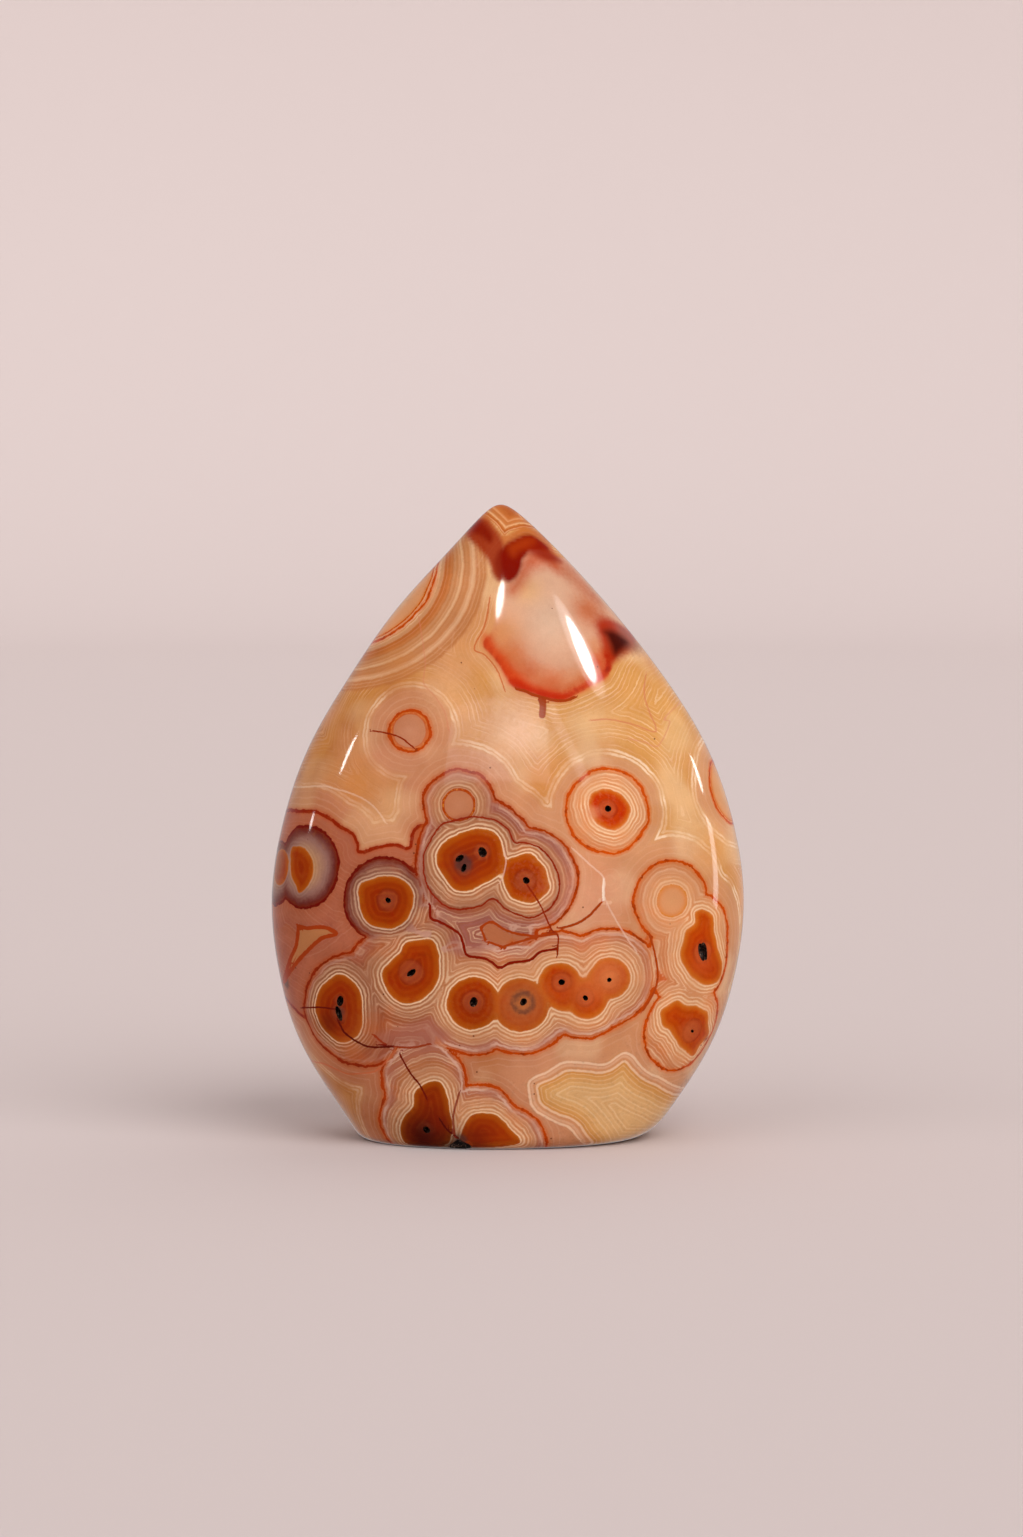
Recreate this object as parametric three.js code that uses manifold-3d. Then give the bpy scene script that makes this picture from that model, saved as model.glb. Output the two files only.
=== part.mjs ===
// A carnelian flame: one piece of banded chalcedony, ground to a pointed teardrop that stands on a
// flat base, and polished all over. Millimetres, +Z up, the show face towards -Y. The origin is
// the middle of the base.
import * as THREE from "three";
import { mergeVertices } from "three/addons/utils/BufferGeometryUtils.js";
import Module from "manifold-3d";

// Driving dimensions
const HEIGHT = 95;
// The section at a few heights: half its width, half its depth, and how far its middle leans right
const STATIONS = [
  { z: 0, width: 21.9, depth: 14.0, lean: -0.4 },
  { z: 6, width: 26.0, depth: 15.3, lean: -0.25 },
  { z: 14, width: 30.8, depth: 16.8, lean: -0.2 },
  { z: 24, width: 34.1, depth: 17.7, lean: -0.05 },
  { z: 36, width: 35.45, depth: 17.9, lean: 0.05 },
  { z: 48, width: 33.65, depth: 16.9, lean: 0.1 },
  { z: 60, width: 29.25, depth: 14.8, lean: 0.05 },
  { z: 70, width: 23.1, depth: 12.2, lean: -0.15 },
  { z: 80, width: 15.6, depth: 8.9, lean: -0.55 },
  { z: 89, width: 7.35, depth: 5.1, lean: -0.6 },
  { z: HEIGHT, width: 0, depth: 0, lean: -1.0 },
];
const TIP_BLUNT = { width: 2.25, depth: 4.0 }; // how far the tip is cut back before it is rounded
const SQUARENESS = { width: 2.15, depth: 2.3 }; // 2 is an ellipse, and more is squarer
const FOOT_ROUNDING = { left: 1.3, right: 3.9 };

// Open pits in the middles of the eyes, all in the show face: place, half width, half height, and
// how many degrees the long way leans to the right
const PIT_DEPTH = 1.3;
const PITS = [
  { x: 14.7, z: 50.8, across: 0.48, tall: 0.48, turn: 0 },
  { x: -3.7, z: 44.6, across: 0.64, tall: 0.7, turn: 10 },
  { x: -7.0, z: 43.7, across: 0.42, tall: 0.7, turn: 50 },
  { x: -6.4, z: 42.3, across: 0.36, tall: 0.62, turn: 10 },
  { x: 2.7, z: 40.5, across: 0.5, tall: 0.5, turn: 0 },
  { x: -17.5, z: 37.4, across: 0.4, tall: 0.4, turn: 0 },
  { x: -14.1, z: 26.8, across: 0.42, tall: 0.8, turn: 45 },
  { x: -24.7, z: 22.1, across: 0.5, tall: 0.8, turn: 0 },
  { x: -24.9, z: 20.2, across: 0.42, tall: 1.15, turn: -15 },
  { x: -5.0, z: 22.6, across: 0.56, tall: 0.76, turn: 25 },
  { x: 2.3, z: 22.6, across: 0.5, tall: 0.54, turn: 0 },
  { x: 7.9, z: 25.5, across: 0.48, tall: 0.44, turn: 0 },
  { x: 11.4, z: 23.1, across: 0.38, tall: 0.4, turn: 0 },
  { x: 14.9, z: 25.7, across: 0.34, tall: 0.34, turn: 0 },
  { x: 28.9, z: 29.2, across: 0.7, tall: 1.4, turn: -15 },
  { x: 27.4, z: 17.2, across: 0.24, tall: 0.24, turn: 0 },
  { x: -12.0, z: 3.0, across: 0.52, tall: 0.52, turn: 0 },
];
// A chip in the front edge of the foot
const FOOT_CHIP = { x: -7.1, z: 0.2, across: 1.6, tall: 1.5, turn: 0 };

// Mesh counts
const COLUMNS = 64;
const ROWS = 48;

const wasm = await Module();
wasm.setup();

// A natural cubic spline through (knots, values), so that the polished face has no kinks.
function naturalSpline(knots, values) {
  const last = knots.length - 1;
  const bend = new Array(last + 1).fill(0);
  const carried = new Array(last + 1).fill(0);
  for (let i = 1; i < last; i++) {
    const before = knots[i] - knots[i - 1];
    const after = knots[i + 1] - knots[i];
    const share = before / (before + after);
    const pivot = share * bend[i - 1] + 2;
    const turn = (values[i + 1] - values[i]) / after - (values[i] - values[i - 1]) / before;
    bend[i] = (share - 1) / pivot;
    carried[i] = ((6 * turn) / (before + after) - share * carried[i - 1]) / pivot;
  }
  bend[0] = 0;
  for (let i = last - 1; i > 0; i--) bend[i] = bend[i] * bend[i + 1] + carried[i];
  return (at) => {
    let i = 0;
    while (i < last - 1 && at > knots[i + 1]) i++;
    const span = knots[i + 1] - knots[i];
    const b = (at - knots[i]) / span;
    const a = 1 - b;
    const curve = ((a ** 3 - a) * bend[i] + (b ** 3 - b) * bend[i + 1]) * (span * span) / 6;
    return a * values[i] + b * values[i + 1] + curve;
  };
}

const knots = STATIONS.map((station) => station.z);
const lean = naturalSpline(knots, STATIONS.map((station) => station.lean));

// A half size that closes at the tip as a rounded cone: the spline runs through sizes made longer
// by the blunting, and the same blunting is taken off again.
function closingHalf(size) {
  const blunt = TIP_BLUNT[size];
  const cone = naturalSpline(knots, STATIONS.map((station) => Math.hypot(station[size], blunt)));
  return (z) => Math.sqrt(Math.max(cone(z) ** 2 - blunt ** 2, 0));
}
const halfWidth = closingHalf("width");
const halfDepth = closingHalf("depth");

// How far the foot's rounding draws the wall in, at a height and an angle from +X towards +Y.
function footInset(z, angle) {
  const rightward = ((1 + Math.cos(angle)) / 2) ** 2;
  const radius = THREE.MathUtils.lerp(FOOT_ROUNDING.left, FOOT_ROUNDING.right, rightward);
  return radius * (1 - Math.sqrt(Math.min(z / radius, 1))) ** 2;
}

const signedPower = (value, power) => Math.sign(value) * Math.abs(value) ** power;

// Moves point to the wall at a height and an angle: a squared-off ellipse, drawn in at the foot.
function setOnWall(point, z, angle) {
  const inset = footInset(z, angle);
  const across = Math.max(halfWidth(z) - inset, 0) * signedPower(Math.cos(angle), 2 / SQUARENESS.width);
  const deep = Math.max(halfDepth(z) - inset, 0) * signedPower(Math.sin(angle), 2 / SQUARENESS.depth);
  point.set(lean(z) + across, deep, z);
}

// The blank is a lathe whose rows crowd towards the foot and the tip. The lathe turns about Y, so
// it is stood up, and then each point of it is moved to the stone's own wall.
function stoneBlank() {
  const profile = [new THREE.Vector2(0, 0)];
  for (let row = 0; row <= ROWS; row++) {
    const z = (HEIGHT * (1 - Math.cos((Math.PI * row) / ROWS))) / 2;
    const radius = row === ROWS ? 0 : 1;
    profile.push(new THREE.Vector2(radius, z));
  }
  const lathe = new THREE.LatheGeometry(profile, COLUMNS);
  lathe.rotateX(Math.PI / 2);
  const place = lathe.attributes.position;
  const point = new THREE.Vector3();
  for (let i = 0; i < place.count; i++) {
    point.fromBufferAttribute(place, i);
    const z = THREE.MathUtils.clamp(point.z, 0, HEIGHT);
    const onAxis = Math.hypot(point.x, point.y) < 0.5;
    if (onAxis) point.set(lean(z), 0, z);
    else setOnWall(point, z, Math.atan2(point.y, point.x));
    place.setXYZ(i, point.x, point.y, point.z);
  }
  return lathe;
}

function solidFrom(geometry) {
  const bare = geometry.clone();
  bare.deleteAttribute("normal");
  bare.deleteAttribute("uv");
  const merged = mergeVertices(bare, 1e-3);
  return new wasm.Manifold(
    new wasm.Mesh({
      numProp: 3,
      vertProperties: new Float32Array(merged.attributes.position.array),
      triVerts: new Uint32Array(merged.index.array),
    }),
  );
}

function geometryFrom(solid) {
  const mesh = solid.getMesh();
  const geometry = new THREE.BufferGeometry();
  geometry.setAttribute("position", new THREE.BufferAttribute(mesh.vertProperties, 3));
  geometry.setIndex(new THREE.BufferAttribute(mesh.triVerts, 1));
  geometry.computeVertexNormals();
  return geometry;
}

// How far in front of the middle plane the show face lies, at a place seen from the front.
function faceDepth(x, z) {
  const share = Math.min(Math.abs(x - lean(z)) / halfWidth(z), 1);
  return halfDepth(z) * (1 - share ** SQUARENESS.width) ** (1 / SQUARENESS.depth);
}

// A pit is cut with a small egg sunk to its waist in the show face.
function pitCutter({ x, z, across, tall, turn }) {
  const egg = new THREE.SphereGeometry(1, 10, 6);
  egg.scale(across, PIT_DEPTH, tall);
  egg.rotateY(THREE.MathUtils.degToRad(turn));
  egg.translate(x, -faceDepth(x, z), z);
  return solidFrom(egg);
}

let stone = solidFrom(stoneBlank());
for (const pit of [...PITS, FOOT_CHIP]) stone = stone.subtract(pitCutter(pit));

const polishedCarnelian = new THREE.MeshStandardMaterial({
  color: 0xcf8a5a,
  roughness: 0.12,
  metalness: 0,
});
const flame = new THREE.Mesh(geometryFrom(stone), polishedCarnelian);
flame.name = "flame_stone";

const part = new THREE.Group();
part.add(flame);

export default part;
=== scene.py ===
import math

import bpy
import numpy as np
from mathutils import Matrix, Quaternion, Vector


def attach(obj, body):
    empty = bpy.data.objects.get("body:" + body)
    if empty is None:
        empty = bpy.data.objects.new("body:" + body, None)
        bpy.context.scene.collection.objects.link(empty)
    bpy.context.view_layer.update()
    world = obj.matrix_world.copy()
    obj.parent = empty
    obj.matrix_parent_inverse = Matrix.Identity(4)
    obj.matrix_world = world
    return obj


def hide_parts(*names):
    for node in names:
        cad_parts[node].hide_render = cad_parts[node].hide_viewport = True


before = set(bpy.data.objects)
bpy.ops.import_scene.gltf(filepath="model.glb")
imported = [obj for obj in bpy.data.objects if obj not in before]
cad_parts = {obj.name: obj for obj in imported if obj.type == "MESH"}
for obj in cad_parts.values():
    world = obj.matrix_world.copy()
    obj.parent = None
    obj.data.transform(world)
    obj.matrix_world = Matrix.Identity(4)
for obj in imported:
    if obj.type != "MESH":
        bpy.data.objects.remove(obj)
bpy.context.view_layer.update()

mm = 0.001  # everything below is thought out in millimetres and written to the meshes in metres
print("frame loaded:", sorted(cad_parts))


camera = {
    "lens": 100,
    "film": 36,
    "nearest": 10,
    "distance": 640,
    "elevation": 4.5,
    "target": (0.6, 0, 55.5),
}


def aimedAt(place, target, turn=0):
    # points an object's -Z from a place to a target, Y upwards, then turns it about its own Z
    aim = (Vector(target) - Vector(place)).to_track_quat("-Z", "Y")
    return (aim @ Quaternion((0, 0, 1), math.radians(turn))).to_euler()


def around(azimuth, elevation, distance, target):
    # a place so far from the target: azimuth runs from the show face to the right
    turn, lift = math.radians(azimuth), math.radians(elevation)
    return (
        target[0] + distance * math.sin(turn) * math.cos(lift),
        target[1] - distance * math.cos(turn) * math.cos(lift),
        target[2] + distance * math.sin(lift),
    )


def placeCamera():
    data = bpy.data.cameras.new("photoCamera")
    data.lens = camera["lens"]
    data.sensor_width = camera["film"]
    data.clip_start = camera["nearest"] * mm
    holder = bpy.data.objects.new("photoCamera", data)
    at = around(0, camera["elevation"], camera["distance"], camera["target"])
    holder.location = Vector(at) * mm
    holder.rotation_euler = aimedAt(at, camera["target"])
    bpy.context.scene.collection.objects.link(holder)
    bpy.context.scene.camera = holder


placeCamera()
print("camera placed")


stone = {
    "height": 95,
    # height, half width, half depth, and how far the middle leans right
    "stations": [
        (0, 21.9, 14.0, -0.4),
        (6, 26.0, 15.3, -0.25),
        (14, 30.8, 16.8, -0.2),
        (24, 34.1, 17.7, -0.05),
        (36, 35.45, 17.9, 0.05),
        (48, 33.65, 16.9, 0.1),
        (60, 29.25, 14.8, 0.05),
        (70, 23.1, 12.2, -0.15),
        (80, 15.6, 8.9, -0.55),
        (89, 7.35, 5.1, -0.6),
        (95, 0, 0, -1.0),
    ],
    "tipBlunt": (2.25, 4.0),  # how far width and depth are cut back before the tip is rounded
    "squareness": (2.15, 2.3),  # of the section: 2 is an ellipse, and more is squarer
    "footRounding": (1.3, 3.9),  # radius at the left and at the right
    "frontColumns": 200,
    "backColumns": 120,
    "footRows": 24,
    "wallRows": 226,
    "tipRows": 26,
    "footRise": 4,  # heights above the foot and below the tip where the rows lie closer
    "tipDrop": 6,
    "sharpFrom": 35,  # degrees between two faces from which the edge between them stays sharp
}


def naturalSpline(knots, values):
    # one cubic between each two knots, with the same slope and bend where they meet
    knots, values = np.array(knots, float), np.array(values, float)
    gaps, last = np.diff(knots), len(knots) - 1
    inner = np.arange(1, last)
    system, pull = np.eye(last + 1), np.zeros(last + 1)
    system[inner, inner - 1] = gaps[:-1]
    system[inner, inner] = 2 * (gaps[:-1] + gaps[1:])
    system[inner, inner + 1] = gaps[1:]
    pull[1:-1] = 6 * np.diff(np.diff(values) / gaps)
    bends = np.linalg.solve(system, pull)

    def curve(at):
        at = np.asarray(at, float)
        i = np.clip(np.searchsorted(knots, at) - 1, 0, last - 1)
        span = gaps[i]
        a, b = (knots[i + 1] - at) / span, (at - knots[i]) / span
        sag = ((a**3 - a) * bends[i] + (b**3 - b) * bends[i + 1]) * span**2 / 6
        return a * values[i] + b * values[i + 1] + sag

    return curve


heights, widths, depths, leans = zip(*stone["stations"])
lean = naturalSpline(heights, leans)


def closingHalf(sizes, blunt):
    # a half size that closes at the tip as a rounded cone: square root of cone squared less blunt squared
    cone = naturalSpline(heights, np.hypot(sizes, blunt))
    return lambda z: np.sqrt(np.maximum(cone(z) ** 2 - blunt**2, 0))


halfWidth = closingHalf(widths, stone["tipBlunt"][0])
halfDepth = closingHalf(depths, stone["tipBlunt"][1])


def faceDepth(x, z):
    # how far in front of the middle plane the show face lies, seen from the front
    across, deep = stone["squareness"]
    share = np.clip(abs(x - lean(z)) / np.maximum(halfWidth(z), 0.01), 0, 1)
    return halfDepth(z) * (1 - share**across) ** (1 / deep)


def wall(z, angle):
    # a squared-off ellipse at each height, drawn in by a quarter circle at the foot
    rightward = ((1 + np.cos(angle)) / 2) ** 2
    left, right = stone["footRounding"]
    radius = left + (right - left) * rightward
    inset = radius * (1 - np.sqrt(np.clip(z / radius, 0, 1))) ** 2
    across, deep = 2 / stone["squareness"][0], 2 / stone["squareness"][1]
    c, s = np.cos(angle), np.sin(angle)
    x = lean(z) + np.maximum(halfWidth(z) - inset, 0) * np.sign(c) * abs(c) ** across
    y = np.maximum(halfDepth(z) - inset, 0) * np.sign(s) * abs(s) ** deep
    return np.stack([x, y, z + 0 * x], axis=-1)


def meshFrom(name, points, faces):
    # points in millimetres, faces as a list of index arrays of one length each
    mesh = bpy.data.meshes.new(name)
    starts = np.concatenate([np.full(len(block), block.shape[1]) for block in faces])
    corners = np.concatenate([block.ravel() for block in faces])
    mesh.vertices.add(len(points))
    mesh.vertices.foreach_set("co", (np.asarray(points) * mm).ravel())
    mesh.loops.add(len(corners))
    mesh.loops.foreach_set("vertex_index", corners)
    mesh.polygons.add(len(starts))
    mesh.polygons.foreach_set("loop_start", np.cumsum(starts) - starts)
    mesh.update(calc_edges=True)
    return mesh


def closedGrid(rings, bottom, top):
    # rings is rows by columns by 3, each ring closed; the two ends are fans to one point
    rows, columns = rings.shape[:2]
    index = np.arange(rows * columns).reshape(rows, columns)
    beside = np.roll(index, -1, axis=1)
    sides = np.stack([index[:-1], beside[:-1], beside[1:], index[1:]], axis=-1).reshape(-1, 4)
    low, high = rows * columns, rows * columns + 1
    under = np.stack([np.full(columns, low), beside[0], index[0]], axis=-1)
    over = np.stack([np.full(columns, high), index[-1], beside[-1]], axis=-1)
    points = np.vstack([rings.reshape(-1, 3), bottom, top])
    return points, [sides, under, over]


def stoneMesh():
    height, rise, drop = stone["height"], stone["footRise"], stone["tipDrop"]
    foot = rise * np.linspace(0, 1, stone["footRows"], endpoint=False) ** 2
    tip = height - drop * np.linspace(1, 0, stone["tipRows"], endpoint=False) ** 2
    middle = np.linspace(rise, height - drop, stone["wallRows"], endpoint=False)
    z = np.concatenate([foot, middle, tip])
    back = np.linspace(0, np.pi, stone["backColumns"], endpoint=False)
    front = np.linspace(np.pi, 2 * np.pi, stone["frontColumns"], endpoint=False)
    angle = np.concatenate([back, front])
    rings = wall(z[:, None], angle[None, :])
    ends = [(float(lean(0)), 0, 0), (float(lean(height)), 0, height)]
    return meshFrom("carnelianFlame", *closedGrid(rings, *ends))


pits = {
    "depth": 1.3,
    # x, z, half width, half height, degrees that the long way leans right, radius of the disc round it
    "places": [
        (14.7, 50.8, 0.48, 0.48, 0, 1.3),
        (-3.7, 44.6, 0.64, 0.7, 10, 1.3),
        (-7.0, 43.7, 0.42, 0.7, 50, 0.9),
        (-6.4, 42.3, 0.36, 0.62, 10, 1.2),
        (2.7, 40.5, 0.5, 0.5, 0, 1.6),
        (-17.5, 37.4, 0.4, 0.4, 0, 1.6),
        (-14.1, 26.8, 0.42, 0.8, 45, 1.9),
        (-24.7, 22.1, 0.5, 0.8, 0, 1.0),
        (-24.9, 20.2, 0.42, 1.15, -15, 1.5),
        (-5.0, 22.6, 0.56, 0.76, 25, 1.6),
        (2.3, 22.6, 0.5, 0.54, 0, 1.8),
        (7.9, 25.5, 0.48, 0.44, 0, 1.5),
        (11.4, 23.1, 0.38, 0.4, 0, 1.3),
        (14.9, 25.7, 0.34, 0.34, 0, 1.4),
        (28.9, 29.2, 0.7, 1.4, -15, 1.7),
        (27.4, 17.2, 0.24, 0.24, 0, 1.8),
        (-12.0, 3.0, 0.52, 0.52, 0, 1.5),
    ],
    "footChip": (-7.1, 0.2, 1.6, 1.5, 0, 0),
    "around": 28,  # points of an egg round and down
    "down": 18,
    "lumps": 0.13,
    "seedStep": 1.7,  # how much the lumps shift from egg to egg
}


def pitCutter(x, z, across, tall, turn, seed):
    # an egg: a ball whose radius is 1 + lumps sin(3u + seed) sin(2v) + lumps cos(5u) sin(v)^2,
    # squeezed to the pit's sizes; v runs from its lowest point to its highest
    u = np.linspace(0, 2 * np.pi, pits["around"], endpoint=False)[None, :]
    v = np.linspace(0, np.pi, pits["down"])[1:-1, None]
    radius = 1 + pits["lumps"] * (np.sin(3 * u + seed) * np.sin(2 * v) + np.cos(5 * u) * np.sin(v) ** 2)
    flat = radius * np.sin(v)
    egg = np.stack([flat * np.cos(u), flat * np.sin(u), -radius * np.cos(v)], axis=-1)
    points, faces = closedGrid(egg, (0, 0, -1), (0, 0, 1))
    points = points * (across, pits["depth"], tall)
    c, s = math.cos(math.radians(turn)), math.sin(math.radians(turn))
    right, back, up = points.T
    turned = np.column_stack([c * right + s * up, back, -s * right + c * up])
    return turned + (x, -float(faceDepth(x, z)), z), faces


def cutPits(piece, pitShade):
    # two cuts, so that the eggs of one cut never overlap
    places = pits["places"] + [pits["footChip"]]
    for start in (0, 1):
        blocks, points, used = [], [], 0
        for number, (x, z, across, tall, turn, disc) in list(enumerate(places))[start::2]:
            eggPoints, eggFaces = pitCutter(x, z, across, tall, turn, number * pits["seedStep"])
            blocks += [block + used for block in eggFaces]
            points.append(eggPoints)
            used += len(eggPoints)
        cutter = bpy.data.objects.new("pitCutter", meshFrom("pitCutter", np.vstack(points), blocks))
        bpy.context.scene.collection.objects.link(cutter)
        # the pit walls take the second material, which paints them nearly black as shade
        cutter.data.materials.append(None)
        cutter.data.materials.append(pitShade)
        cutter.data.polygons.foreach_set("material_index", np.ones(len(cutter.data.polygons), int))
        cut = piece.modifiers.new("cut", "BOOLEAN")
        cut.operation, cut.solver, cut.object = "DIFFERENCE", "EXACT", cutter
        applyModifiers(piece)
        bpy.data.meshes.remove(cutter.data)


def applyModifiers(piece):
    graph = bpy.context.evaluated_depsgraph_get()
    shown = piece.evaluated_get(graph)
    finished = bpy.data.meshes.new_from_object(shown, preserve_all_data_layers=True, depsgraph=graph)
    piece.modifiers.clear()
    before = piece.data
    piece.data = finished
    bpy.data.meshes.remove(before)


def backEye(core, reach, **rest):
    # the photo shows nothing of the back: its eyes are laid out as on the show face, with one round rim each
    return dict(core=core, rim=[(*core[0][:2], reach)], side=1, **rest)


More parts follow.
